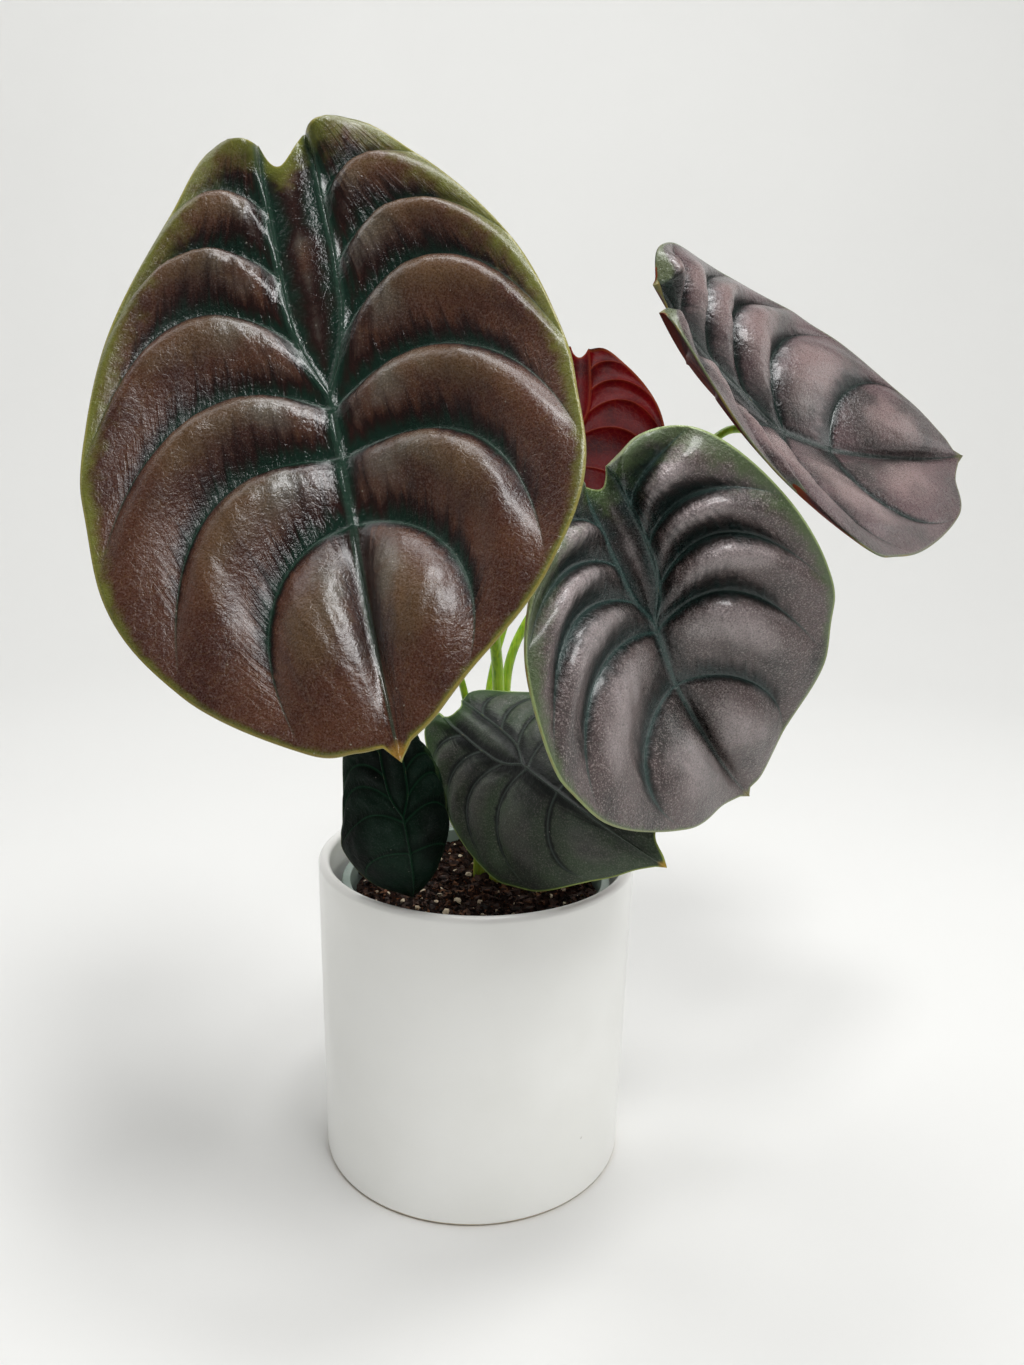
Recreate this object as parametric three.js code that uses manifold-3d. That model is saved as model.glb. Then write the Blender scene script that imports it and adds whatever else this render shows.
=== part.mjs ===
// A potted alocasia: a glazed cover pot, a thin nursery pot, the potting mix and six quilted leaves
// on their petioles. Millimetres, +Z up, the origin in the middle of the cover pot's flat bottom.
// The front of the plant looks along -Y.

import * as THREE from "three";
import { mergeVertices } from "three/addons/utils/BufferGeometryUtils.js";
import Module from "manifold-3d";

const wasm = await Module();
wasm.setup();

// Driving dimensions
const GAP = 0.3;
const POT_HEIGHT = 130;
const POT_RIM_RADIUS = 65;
const POT_FOOT_RADIUS = 63;
const POT_WALL = 4.6;
const POT_FLOOR = 6;
const NURSERY_TOP = 120;
const NURSERY_RADIUS = 55.5;
const NURSERY_FOOT_RADIUS = 42;
const NURSERY_WALL = 1.1;
const NURSERY_RIM_DEPTH = 6;
const DRAIN_HOLES = 6;
const DRAIN_RADIUS = 4;
const DRAIN_RING = 27;
const SOIL_TOP = 114;
const SOIL_BUMP = 1.1;
const ROOT_DEPTH = 12;
const BLADE_THICKNESS = 0.8;
const RELIEF_RISE = 0.75;

// Each half of a blade is a fan of rays from the midrib to the margin, tip first. A ray is a Bezier
// curve: [q, start, first control, second control, margin point], in units of the length from the
// petiole joint to the tip. A whole number q is a vein and the puffs swell between whole numbers.
const SEVEN_VEINS = {
  joint: 6,
  tuned: [2, 3, 4, 5, 7, 8, 9],
  rows: [
    [0.0, [0, -1], [0, -1], [0, -1], [0, -1]],
    [0.15, [0, -0.94], [0.008, -0.943], [0.018, -0.947], [0.028, -0.952]],
    [1.0, [0, -0.66], [0.05, -0.7], [0.085, -0.8], [0.1, -0.935]],
    [2.0, [0, -0.38], [0.2, -0.38], [0.36, -0.6], [0.22, -0.895]],
    [3.0, [0, -0.19], [0.25, -0.12], [0.52, -0.22], [0.49, -0.7]],
    [4.0, [0, -0.045], [0.22, 0.12], [0.55, 0.08], [0.645, -0.4]],
    [4.35, [0, 0], [0.218, 0.193], [0.535, 0.185], [0.665, -0.25]],
    [5.0, [0.06, 0.13], [0.25, 0.33], [0.52, 0.32], [0.675, -0.1]],
    [6.0, [0.083, 0.31], [0.2, 0.46], [0.42, 0.47], [0.59, 0.22]],
    [7.0, [0.082, 0.48], [0.14, 0.58], [0.25, 0.6], [0.37, 0.545]],
    [7.6, [0.08, 0.6], [0.11, 0.65], [0.16, 0.685], [0.19, 0.69]],
    [8.0, [0.07, 0.665], [0.07, 0.665], [0.07, 0.665], [0.07, 0.665]],
  ],
};
const SIX_VEINS = {
  joint: 5,
  tuned: [2, 3, 4, 6, 7, 8],
  rows: [
    [0.0, [0, -1], [0, -1], [0, -1], [0, -1]],
    [0.15, [0, -0.94], [0.008, -0.943], [0.018, -0.947], [0.028, -0.952]],
    [1.0, [0, -0.6], [0.06, -0.64], [0.12, -0.78], [0.13, -0.925]],
    [2.0, [0, -0.3], [0.24, -0.27], [0.5, -0.48], [0.36, -0.81]],
    [3.0, [0, -0.045], [0.22, 0.12], [0.55, 0.08], [0.645, -0.4]],
    [3.35, [0, 0], [0.218, 0.193], [0.535, 0.185], [0.665, -0.25]],
    [4.0, [0.06, 0.13], [0.25, 0.33], [0.52, 0.32], [0.675, -0.1]],
    [5.0, [0.083, 0.31], [0.2, 0.46], [0.42, 0.47], [0.59, 0.22]],
    [6.0, [0.082, 0.48], [0.14, 0.58], [0.25, 0.6], [0.37, 0.545]],
    [6.6, [0.08, 0.6], [0.11, 0.65], [0.16, 0.685], [0.19, 0.69]],
    [7.0, [0.07, 0.665], [0.07, 0.665], [0.07, 0.665], [0.07, 0.665]],
  ],
};
const SINUS_DEPTH = 0.065;
const PANEL_PILLOW = 0.02;

// The six leaves. size: joint to tip; at: the joint; turn: the face's azimuth and elevation and the
// blade's spin, in radians; width, fold, curl and edge: left half, then right half; arch: the
// midrib's bend towards the tip and towards the lobes.
const LEAVES = {
  a: {
    table: SEVEN_VEINS,
    size: 122.3,
    at: [-47.4, -77.5, 309.9],
    turn: [-0.306, 0.5, 0.36],
    width: [0.9, 0.94],
    arch: [-0.14, -0.17],
    fold: [0.14, -0.02],
    curl: [0.38, 0.4],
    twist: -0.11,
    sway: 0.039,
    back: 1.19,
    relief: 0.055,
    edge: [[-0.01, 0.02, 0.04, 0.05, 0.03, 0.01, -0.02], [-0.05, -0.04, -0.04, -0.01, -0.02, -0.01, -0.01]],
    detail: { rows: 4, columns: 6 },
    colour: "#5a4238",
  },
  b: {
    table: SIX_VEINS,
    size: 88.1,
    at: [58.6, -62.6, 238.4],
    turn: [0.659, 0, 0.418],
    width: [1.15, 0.89],
    arch: [-0.08, 0.6],
    fold: [0.18, 0.5],
    curl: [0.24, 0.4],
    twist: 0.1,
    sway: 0.235,
    back: 0.94,
    relief: 0.055,
    edge: [[-0.07, -0.07, 0.01, 0.05, 0.07, -0.01], [-0.01, -0.07, 0.04, 0.12, 0.12, 0.1]],
    detail: { rows: 3, columns: 6 },
    colour: "#6a5c62",
  },
  c: {
    table: SIX_VEINS,
    size: 111,
    at: [121.1, 34, 303.1],
    turn: [0.884, 0.772, 1.127],
    width: [0.96, 0.85],
    arch: [-0.5, -0.56],
    fold: [0.06, 0.5],
    curl: [0.16, -0.32],
    twist: -0.05,
    sway: 0.06,
    back: 1.3,
    relief: 0.045,
    edge: [[-0.03, -0.03, -0.05, 0.01, -0.06, 0.04], [-0.02, -0.08, -0.06, -0.01, 0.03, 0.05]],
    detail: { rows: 3, columns: 5 },
    colour: "#6b5560",
  },
  d: {
    table: SIX_VEINS,
    size: 60.9,
    at: [43.1, 81.9, 300.4],
    turn: [3.194, -0.45, 0.049],
    width: [0.98, 1],
    arch: [0.59, -0.31],
    fold: [-0.01, -0.02],
    curl: [-0.34, -0.3],
    twist: -0.09,
    sway: -0.011,
    back: 1.1,
    relief: 0.05,
    edge: [[0, 0, 0, 0, 0.01, 0], [0, 0, 0, 0, 0, 0]],
    detail: { rows: 3, columns: 5 },
    colour: "#6e1f22",
  },
  e: {
    table: SIX_VEINS,
    size: 68.4,
    at: [16.8, -36.1, 178.9],
    turn: [-0.851, 0.701, 1.325],
    width: [0.98, 1],
    arch: [0.77, -0.39],
    fold: [-0.36, -0.22],
    curl: [-0.38, -0.39],
    twist: -0.4,
    sway: 0.06,
    back: 1.03,
    relief: 0.05,
    edge: [[-0.03, -0.06, -0.01, 0.02, 0.01, -0.02], [-0.08, -0.02, 0, 0, 0, -0.02]],
    detail: { rows: 3, columns: 5 },
    colour: "#3f4a42",
  },
  f: {
    table: SIX_VEINS,
    size: 46.9,
    at: [-26.4, -58.4, 165.8],
    turn: [0.133, 0.21, 0.186],
    width: [0.99, 0.99],
    arch: [1.3, -0.13],
    fold: [-0.42, -0.31],
    curl: [-0.9, -1.59],
    twist: 0.09,
    sway: -0.039,
    back: 1.06,
    relief: 0.05,
    edge: [[-0.04, 0.03, 0.02, -0.03, -0.05, 0.05], [0, 0, 0, 0, 0, -0.01]],
    detail: { rows: 3, columns: 5 },
    colour: "#2c3b33",
  },
};

// The petioles: radius at the foot and at the blade, and the points from the foot in the mix to the
// joint. The foot itself is set on a ring round the crown.
const CROWN = [7, 12];
const PETIOLES = {
  a: {
    foot: 3.1,
    top: 2,
    path: [
      [7, 12, 112],
      [8.6, 13, 161.2],
      [7.9, 12.5, 196],
      [6.8, 10, 210.4],
      [2.8, -2, 235.8],
      [-9.7, -32, 269.2],
      [-35.6, -53.1, 285.4],
      [-44, -69, 302.6],
    ],
  },
  b: {
    foot: 2.4,
    top: 1.7,
    path: [
      [14, 11, 112],
      [24, 13, 150],
      [42, 6, 192],
      [46.8, -47, 226.4],
      [54.3, -57.1, 235.4],
    ],
  },
  c: {
    foot: 2.5,
    top: 1.7,
    path: [
      [9.5, 19, 112],
      [10.7, 21, 158.7],
      [10.9, 21.5, 189.5],
      [12.6, 21.5, 206.4],
      [18.2, 22.5, 220.8],
      [38.8, 26, 250.9],
      [69.7, 33, 278.6],
      [93.7, 38, 298.2],
      [104.3, 40, 303.7],
      [114.1, 39, 294.8],
    ],
  },
  d: {
    foot: 2,
    top: 1.3,
    path: [
      [2.5, 17.5, 112],
      [2.5, 21, 158.5],
      [3.7, 26, 188.3],
      [5.7, 29, 201.6],
      [10.9, 32, 221.1],
      [23, 47, 254.7],
      [35, 60, 285],
      [42.6, 71.2, 300.7],
    ],
  },
  e: {
    foot: 2,
    top: 1.4,
    path: [
      [7.5, 4.5, 112],
      [10, -3, 140],
      [14, -14, 160],
      [23.7, -28, 163.2],
      [20.3, -33, 173.1],
    ],
  },
  f: {
    foot: 2,
    top: 1.3,
    path: [
      [1, 9.5, 112],
      [0.4, 10, 162],
      [-5, 8.5, 190.4],
      [-7.5, 6, 201.5],
      [-12.3, -1, 216.1],
      [-17.9, -10, 224.9],
      [-23.2, -19, 220.7],
      [-29.8, -33.2, 202.4],
      [-28.7, -41.9, 180.2],
      [-27.5, -50.6, 168.1],
    ],
  },
};

// Slopes of a smooth curve through rows of different spacing; the row "broken" keeps a corner.
function slopes(q, points, broken) {
  const last = q.length - 1;
  const step = (i) => [
    (points[i + 1][0] - points[i][0]) / (q[i + 1] - q[i]),
    (points[i + 1][1] - points[i][1]) / (q[i + 1] - q[i]),
  ];
  const into = [];
  const out = [];
  for (let i = 0; i <= last; i += 1) {
    if (i === 0 || i === last || i === broken) {
      into.push(step(Math.max(i - 1, 0)));
      out.push(step(Math.min(i, last - 1)));
      continue;
    }
    const before = step(i - 1);
    const after = step(i);
    const wide = q[i + 1] - q[i];
    const near = q[i] - q[i - 1];
    const mean = [0, 1].map((k) => (before[k] * wide + after[k] * near) / (wide + near));
    into.push(mean);
    out.push(mean);
  }
  return { into, out };
}

// The rays of one half blade as a function of q, with the margin moved out or in by "edge".
function rayField(table, edge) {
  const q = table.rows.map((row) => row[0]);
  const columns = [1, 2, 3, 4].map((k) => table.rows.map((row) => row[k]));
  const push = q.map(() => 0);
  table.tuned.forEach((row, i) => {
    push[row] = edge[i];
  });
  push[table.joint] = (push[table.joint - 1] + push[table.joint + 1]) / 2;
  columns[3] = columns[3].map((point, i) => {
    const away = [point[0], point[1] + 0.15];
    const length = Math.hypot(away[0], away[1]);
    return [point[0] + (push[i] * away[0]) / length, point[1] + (push[i] * away[1]) / length];
  });
  const tangents = columns.map((column, k) => slopes(q, column, k === 0 ? table.joint : -1));
  return (value) => {
    let i = 0;
    while (i < q.length - 2 && value >= q[i + 1]) {
      i += 1;
    }
    const span = q[i + 1] - q[i];
    const s = (value - q[i]) / span;
    const a = 2 * s ** 3 - 3 * s ** 2 + 1;
    const b = (s ** 3 - 2 * s ** 2 + s) * span;
    const c = -2 * s ** 3 + 3 * s ** 2;
    const d = (s ** 3 - s ** 2) * span;
    return columns.map((column, k) =>
      [0, 1].map(
        (n) =>
          a * column[i][n] +
          b * tangents[k].out[i][n] +
          c * column[i + 1][n] +
          d * tangents[k].into[i + 1][n],
      ),
    );
  };
}

function onRay(ray, t) {
  const u = 1 - t;
  const weights = [u * u * u, 3 * u * u * t, 3 * u * t * t, t * t * t];
  return [0, 1].map((n) => ray.reduce((sum, point, k) => sum + weights[k] * point[n], 0));
}

// How far the blade swells above its veins.
function swell(q, t, relief) {
  const across = Math.abs(Math.sin(Math.PI * q)) ** RELIEF_RISE;
  const along = Math.max(Math.sin(Math.PI * t ** 0.6), 0) ** 0.8;
  const ease = Math.min(1, 0.15 + 0.45 * q);
  return relief * across * along * ease;
}

// A point of the flat half blade, lifted by h, bent and put in its place on the plant.
function place(leaf, x, flatY, h, side) {
  const half = side > 0 ? 1 : 0;
  const y = flatY > 0 ? flatY * leaf.back : flatY;
  const curl = Math.abs(leaf.curl[half]) < 1e-6 ? 1e-6 : leaf.curl[half];
  const fold = leaf.fold[half];
  const lean = fold + curl * x * leaf.width[half];
  const across = side * ((Math.sin(lean) - Math.sin(fold)) / curl - h * Math.sin(lean));
  const up = -(Math.cos(lean) - Math.cos(fold)) / curl + h * Math.cos(lean);
  const roll = leaf.twist * y;
  const sway = y < 0 ? leaf.sway * y * y : 0;
  const u = across * Math.cos(roll) - up * Math.sin(roll) + sway;
  const v = across * Math.sin(roll) + up * Math.cos(roll);
  const bend = y < 0 ? leaf.arch[0] : leaf.arch[1];
  const arch = Math.abs(bend) < 1e-6 ? 1e-6 : bend;
  const angle = arch * Math.abs(y);
  const way = y < 0 ? -1 : 1;
  const along = way * (Math.sin(angle) / arch + v * Math.sin(angle));
  const out = -(1 - Math.cos(angle)) / arch + v * Math.cos(angle);
  const [azimuth, elevation, spin] = leaf.turn;
  const face = new THREE.Vector3(
    Math.sin(azimuth) * Math.cos(elevation),
    -Math.cos(azimuth) * Math.cos(elevation),
    Math.sin(elevation),
  );
  const level = new THREE.Vector3(Math.cos(azimuth), Math.sin(azimuth), 0);
  const rise = new THREE.Vector3().crossVectors(face, level);
  const right = level.clone().multiplyScalar(Math.cos(spin)).addScaledVector(rise, Math.sin(spin));
  const head = rise.clone().multiplyScalar(Math.cos(spin)).addScaledVector(level, -Math.sin(spin));
  return new THREE.Vector3(...leaf.at)
    .addScaledVector(right, u * leaf.size)
    .addScaledVector(head, along * leaf.size)
    .addScaledVector(face, out * leaf.size);
}

// Values of q from the tip to the end of the lobe: every vein, the joint and steps between them.
function rowValues(table, steps) {
  const end = table.rows[table.rows.length - 1][0];
  const joint = table.rows[table.joint][0];
  const before = Math.floor(joint);
  const values = [0, 0.15, 0.4, 0.7];
  for (let vein = 1; vein < end; vein += 1) {
    if (vein === before) {
      values.push(vein, joint, joint + (vein + 1 - joint) / 2);
      continue;
    }
    for (let i = 0; i < steps; i += 1) {
      values.push(vein + i / steps);
    }
  }
  values.push(end);
  return values;
}

// The upper face of a blade as a list of triangles.
function bladeFace(leaf, detail) {
  const { table } = leaf;
  const joint = table.rows[table.joint][0];
  const end = table.rows[table.rows.length - 1][0];
  const values = rowValues(table, detail.rows);
  const triangles = [];
  const quad = (a, b, c, d) => {
    triangles.push([a, b, c], [b, d, c]);
  };
  for (const side of [-1, 1]) {
    const field = rayField(table, leaf.edge[side > 0 ? 1 : 0]);
    const rows = values.map((q) => {
      const ray = field(q);
      const row = [];
      for (let j = 0; j <= detail.columns; j += 1) {
        const t = (j / detail.columns) ** 1.15;
        const [x, y] = onRay(ray, t);
        row.push(place(leaf, x, y, swell(q, t, leaf.relief), side));
      }
      return row;
    });
    for (let i = 0; i < rows.length - 1; i += 1) {
      for (let j = 0; j < detail.columns; j += 1) {
        if (side > 0) {
          quad(rows[i][j], rows[i][j + 1], rows[i + 1][j], rows[i + 1][j + 1]);
        } else {
          quad(rows[i][j + 1], rows[i][j], rows[i + 1][j + 1], rows[i + 1][j]);
        }
      }
    }
  }
  // The strip between the two veins that run from the joint up into the lobes, to the sinus.
  const field = rayField(table, leaf.edge[0]);
  const strip = values.filter((q) => q >= joint).map((q) => {
    const start = field(q)[0];
    const c = (q - joint) / (end - joint);
    return [-1, -0.5, 0, 0.5, 1].map((b) => {
      const inside = 1 - b * b;
      const y = start[1] - SINUS_DEPTH * inside * c ** 3;
      const h = PANEL_PILLOW * inside * Math.sin(Math.min(c * 2.4, 1.9));
      return place(leaf, Math.abs(b) * start[0], y, h, b < 0 ? -1 : 1);
    });
  });
  for (let i = 0; i < strip.length - 1; i += 1) {
    for (let j = 0; j < 4; j += 1) {
      quad(strip[i][j], strip[i][j + 1], strip[i + 1][j], strip[i + 1][j + 1]);
    }
  }
  return triangles;
}

// Turns an open face into a closed sheet: "above" over the face and "below" under it.
function sheet(triangles, above, below) {
  const open = new THREE.BufferGeometry().setFromPoints(triangles.flat());
  const merged = mergeVertices(open, 1e-3);
  const source = merged.index.array;
  const index = [];
  for (let i = 0; i < source.length; i += 3) {
    const [a, b, c] = [source[i], source[i + 1], source[i + 2]];
    if (a !== b && b !== c && c !== a) {
      index.push(a, b, c);
    }
  }
  merged.setIndex(index);
  merged.computeVertexNormals();
  const spots = merged.getAttribute("position");
  const normals = merged.getAttribute("normal");
  const { count } = spots;
  const points = [];
  for (const shift of [above, -below]) {
    for (let i = 0; i < count; i += 1) {
      const point = new THREE.Vector3().fromBufferAttribute(spots, i);
      points.push(point.addScaledVector(new THREE.Vector3().fromBufferAttribute(normals, i), shift));
    }
  }
  const faces = [];
  const border = new Map();
  for (let i = 0; i < index.length; i += 3) {
    const [a, b, c] = [index[i], index[i + 1], index[i + 2]];
    faces.push(a, b, c, a + count, c + count, b + count);
    for (const [from, to] of [[a, b], [b, c], [c, a]]) {
      const back = `${to} ${from}`;
      if (border.has(back)) {
        border.delete(back);
      } else {
        border.set(`${from} ${to}`, [from, to]);
      }
    }
  }
  for (const [from, to] of border.values()) {
    faces.push(from, from + count, to + count, from, to + count, to);
  }
  const geometry = new THREE.BufferGeometry().setFromPoints(points);
  geometry.setIndex(faces);
  return geometry;
}

function solidOf(geometry) {
  const bare = geometry.clone();
  bare.deleteAttribute("normal");
  bare.deleteAttribute("uv");
  const merged = mergeVertices(bare, 1e-3);
  return new wasm.Manifold(
    new wasm.Mesh({
      numProp: 3,
      vertProperties: new Float32Array(merged.attributes.position.array),
      triVerts: new Uint32Array(merged.index.array),
    }),
  );
}

function geometryOf(solid) {
  const { vertProperties, triVerts, numProp } = solid.getMesh();
  const positions = new Float32Array((vertProperties.length / numProp) * 3);
  for (let i = 0; i < positions.length / 3; i += 1) {
    positions.set(vertProperties.subarray(i * numProp, i * numProp + 3), i * 3);
  }
  const geometry = new THREE.BufferGeometry();
  geometry.setAttribute("position", new THREE.BufferAttribute(positions, 3));
  geometry.setIndex(new THREE.BufferAttribute(new Uint32Array(triVerts), 1));
  return geometry;
}

function largest(solid) {
  return solid.decompose().sort((a, b) => b.volume() - a.volume())[0];
}

// A round tapered stem with closed ends along a smooth curve. "extra" widens it all round.
function stem(points, foot, head, sides, steps, extra) {
  const curve = new THREE.CatmullRomCurve3(points, false, "centripetal");
  const frames = curve.computeFrenetFrames(steps, false);
  const spots = [];
  for (let i = 0; i <= steps; i += 1) {
    const u = i / steps;
    const centre = curve.getPointAt(u);
    const radius = THREE.MathUtils.lerp(foot, head, Math.min(1, u * 1.4) ** 0.7) + extra;
    for (let j = 0; j < sides; j += 1) {
      const angle = (2 * Math.PI * j) / sides;
      spots.push(
        centre
          .clone()
          .addScaledVector(frames.normals[i], radius * Math.cos(angle))
          .addScaledVector(frames.binormals[i], radius * Math.sin(angle)),
      );
    }
  }
  const first = spots.length;
  spots.push(curve.getPointAt(0), curve.getPointAt(1));
  const faces = [];
  for (let j = 0; j < sides; j += 1) {
    const next = (j + 1) % sides;
    for (let i = 0; i < steps; i += 1) {
      const [a, b] = [i * sides + j, i * sides + next];
      faces.push(a, b, a + sides, b, b + sides, a + sides);
    }
    faces.push(first, next, j);
    faces.push(first + 1, steps * sides + j, steps * sides + next);
  }
  const geometry = new THREE.BufferGeometry().setFromPoints(spots);
  geometry.setIndex(faces);
  return geometry;
}

function lathe(profile, segments) {
  const geometry = new THREE.LatheGeometry(
    profile.map(([radius, height]) => new THREE.Vector2(radius, height)),
    segments,
  );
  geometry.rotateX(Math.PI / 2);
  return geometry;
}

// A quarter turn of a rounded edge, as profile points round a centre.
function rounded(x, z, radius, from, to, steps) {
  return Array.from({ length: steps + 1 }, (_, i) => {
    const angle = THREE.MathUtils.degToRad(from + ((to - from) * i) / steps);
    return [x + radius * Math.cos(angle), z + radius * Math.sin(angle)];
  });
}

function coverPot() {
  const lip = POT_WALL / 2;
  const inside = POT_RIM_RADIUS - POT_WALL;
  return lathe(
    [
      [0, 0],
      ...rounded(POT_FOOT_RADIUS - 2, 2, 2, -90, 0, 3),
      ...rounded(POT_RIM_RADIUS - lip, POT_HEIGHT - lip, lip, 0, 180, 6),
      ...rounded(inside - 5, POT_FLOOR + 3, 3, 0, -90, 3),
      [0, POT_FLOOR],
    ],
    48,
  );
}

function nurseryPot() {
  const floor = POT_FLOOR + GAP;
  const neck = NURSERY_RADIUS - 2.2;
  const shell = solidOf(
    lathe(
      [
        [0, floor],
        [NURSERY_FOOT_RADIUS, floor],
        [neck, NURSERY_TOP - NURSERY_RIM_DEPTH],
        [NURSERY_RADIUS, NURSERY_TOP - NURSERY_RIM_DEPTH],
        [NURSERY_RADIUS, NURSERY_TOP - 0.6],
        [NURSERY_RADIUS - 0.6, NURSERY_TOP],
        [neck - NURSERY_WALL + 0.4, NURSERY_TOP],
        [neck - NURSERY_WALL, NURSERY_TOP - 0.6],
        [neck - NURSERY_WALL, NURSERY_TOP - NURSERY_RIM_DEPTH],
        [NURSERY_FOOT_RADIUS - NURSERY_WALL, floor + NURSERY_WALL],
        [0, floor + NURSERY_WALL],
      ],
      48,
    ),
  );
  const holes = Array.from({ length: DRAIN_HOLES }, (_, i) => {
    const angle = (2 * Math.PI * i) / DRAIN_HOLES;
    const hole = new THREE.CylinderGeometry(DRAIN_RADIUS, DRAIN_RADIUS, 8, 16);
    hole.rotateX(Math.PI / 2);
    hole.translate(DRAIN_RING * Math.cos(angle), DRAIN_RING * Math.sin(angle), floor);
    return solidOf(hole);
  });
  return geometryOf(holes.reduce((left, hole) => left.subtract(hole), shell));
}

function soilHeight(x, y) {
  const bumps =
    Math.sin(x * 0.21 + 1.3) * Math.cos(y * 0.18) + 0.6 * Math.sin(x * 0.37 - y * 0.31 + 0.7);
  const mound = 1.5 * Math.max(0, 1 - Math.hypot(x - CROWN[0], y - CROWN[1]) / 30);
  return SOIL_TOP + SOIL_BUMP * bumps + mound;
}

// The mix fills the nursery pot: a flat bottom, a sloping side and a lumpy top with a hole for each
// petiole.
function pottingMix(feet) {
  const floor = POT_FLOOR + GAP + NURSERY_WALL + GAP;
  const low = NURSERY_FOOT_RADIUS - NURSERY_WALL - GAP - 0.2;
  const wall = NURSERY_RADIUS - 2.2 - NURSERY_WALL - GAP;
  const neckHeight = NURSERY_TOP - NURSERY_RIM_DEPTH;
  const high = low + ((wall - low) * (SOIL_TOP - SOIL_BUMP * 1.6 - floor)) / (neckHeight - floor) - 0.2;
  const sides = 40;
  const rings = [0.16, 0.34, 0.52, 0.7, 0.86, 1];
  const spots = [[0, 0, floor], [0, 0, soilHeight(0, 0)]];
  const ring = (radius, height) => {
    const start = spots.length;
    for (let i = 0; i < sides; i += 1) {
      const angle = (2 * Math.PI * i) / sides;
      const [x, y] = [radius * Math.cos(angle), radius * Math.sin(angle)];
      spots.push([x, y, height === null ? soilHeight(x, y) : height]);
    }
    return start;
  };
  const faces = [];
  const join = (inner, outer) => {
    for (let i = 0; i < sides; i += 1) {
      const next = (i + 1) % sides;
      faces.push(inner + i, outer + i, outer + next, inner + i, outer + next, inner + next);
    }
  };
  let inner = ring(high * rings[0], null);
  for (let i = 0; i < sides; i += 1) {
    faces.push(1, inner + i, inner + ((i + 1) % sides));
  }
  for (const share of rings.slice(1)) {
    const outer = ring(high * share, null);
    join(inner, outer);
    inner = outer;
  }
  const bottom = ring(low, floor);
  join(inner, bottom);
  for (let i = 0; i < sides; i += 1) {
    faces.push(0, bottom + ((i + 1) % sides), bottom + i);
  }
  const geometry = new THREE.BufferGeometry().setFromPoints(
    spots.map((spot) => new THREE.Vector3(...spot)),
  );
  geometry.setIndex(faces);
  return geometryOf(largest(feet.reduce((left, foot) => left.subtract(foot), solidOf(geometry))));
}

function material(color, roughness, metalness = 0) {
  return new THREE.MeshStandardMaterial({ color, roughness, metalness });
}

const plant = new THREE.Group();
plant.name = "potted_alocasia";

function add(name, geometry, look) {
  geometry.computeVertexNormals();
  const mesh = new THREE.Mesh(geometry, look);
  mesh.name = name;
  plant.add(mesh);
}

const feet = [];
for (const [name, leaf] of Object.entries(LEAVES)) {
  const face = bladeFace(leaf, leaf.detail);
  add(`leaf_${name}_blade`, sheet(face, 0, BLADE_THICKNESS), material(leaf.colour, 0.35));
  const { foot, top, path } = PETIOLES[name];
  const points = path.map((point) => new THREE.Vector3(...point));
  points.unshift(new THREE.Vector3(path[0][0], path[0][1], SOIL_TOP - ROOT_DEPTH));
  points.push(new THREE.Vector3(...leaf.at));
  const room = solidOf(sheet(face, GAP, BLADE_THICKNESS + GAP));
  const stalk = largest(solidOf(stem(points, foot, top, 8, 18, 0)).subtract(room));
  feet.push(solidOf(stem(points, foot, top, 8, 18, GAP)));
  add(`leaf_${name}_petiole`, geometryOf(stalk), material("#9dbf2a", 0.45));
}
add("cover_pot", coverPot(), material("#eeedea", 0.35));
add("nursery_pot", nurseryPot(), material("#8fa39a", 0.4));
add("potting_mix", pottingMix(feet), material("#2b1d17", 0.95));

export default plant;
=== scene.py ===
"""A potted alocasia: six quilted leaves on lime petioles in a white cover pot with potting mix."""
import math

import bmesh
import bpy
import numpy as np
from bpy.props import FloatProperty, FloatVectorProperty, IntProperty, PointerProperty
from mathutils import Matrix, Vector, noise


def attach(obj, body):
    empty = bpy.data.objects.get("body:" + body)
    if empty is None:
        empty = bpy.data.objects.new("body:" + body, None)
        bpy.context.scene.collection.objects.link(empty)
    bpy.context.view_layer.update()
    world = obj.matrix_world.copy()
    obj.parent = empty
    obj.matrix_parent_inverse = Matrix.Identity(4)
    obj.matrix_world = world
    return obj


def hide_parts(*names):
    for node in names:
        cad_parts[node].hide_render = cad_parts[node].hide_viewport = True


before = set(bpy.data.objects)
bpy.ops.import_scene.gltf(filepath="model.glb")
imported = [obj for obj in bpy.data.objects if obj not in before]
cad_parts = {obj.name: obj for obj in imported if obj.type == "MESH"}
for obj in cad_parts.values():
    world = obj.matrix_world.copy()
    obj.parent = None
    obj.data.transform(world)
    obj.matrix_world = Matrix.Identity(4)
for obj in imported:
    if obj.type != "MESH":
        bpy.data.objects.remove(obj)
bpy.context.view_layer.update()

bl_info = {
    "name": "Potted Alocasia",
    "version": (1, 0, 0),
    "blender": (4, 5, 0),
    "location": "View3D > Sidebar > Alocasia",
    "description": "Builds a potted alocasia with quilted leaves over its packed model",
    "category": "Object",
}

MM = 0.001

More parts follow.
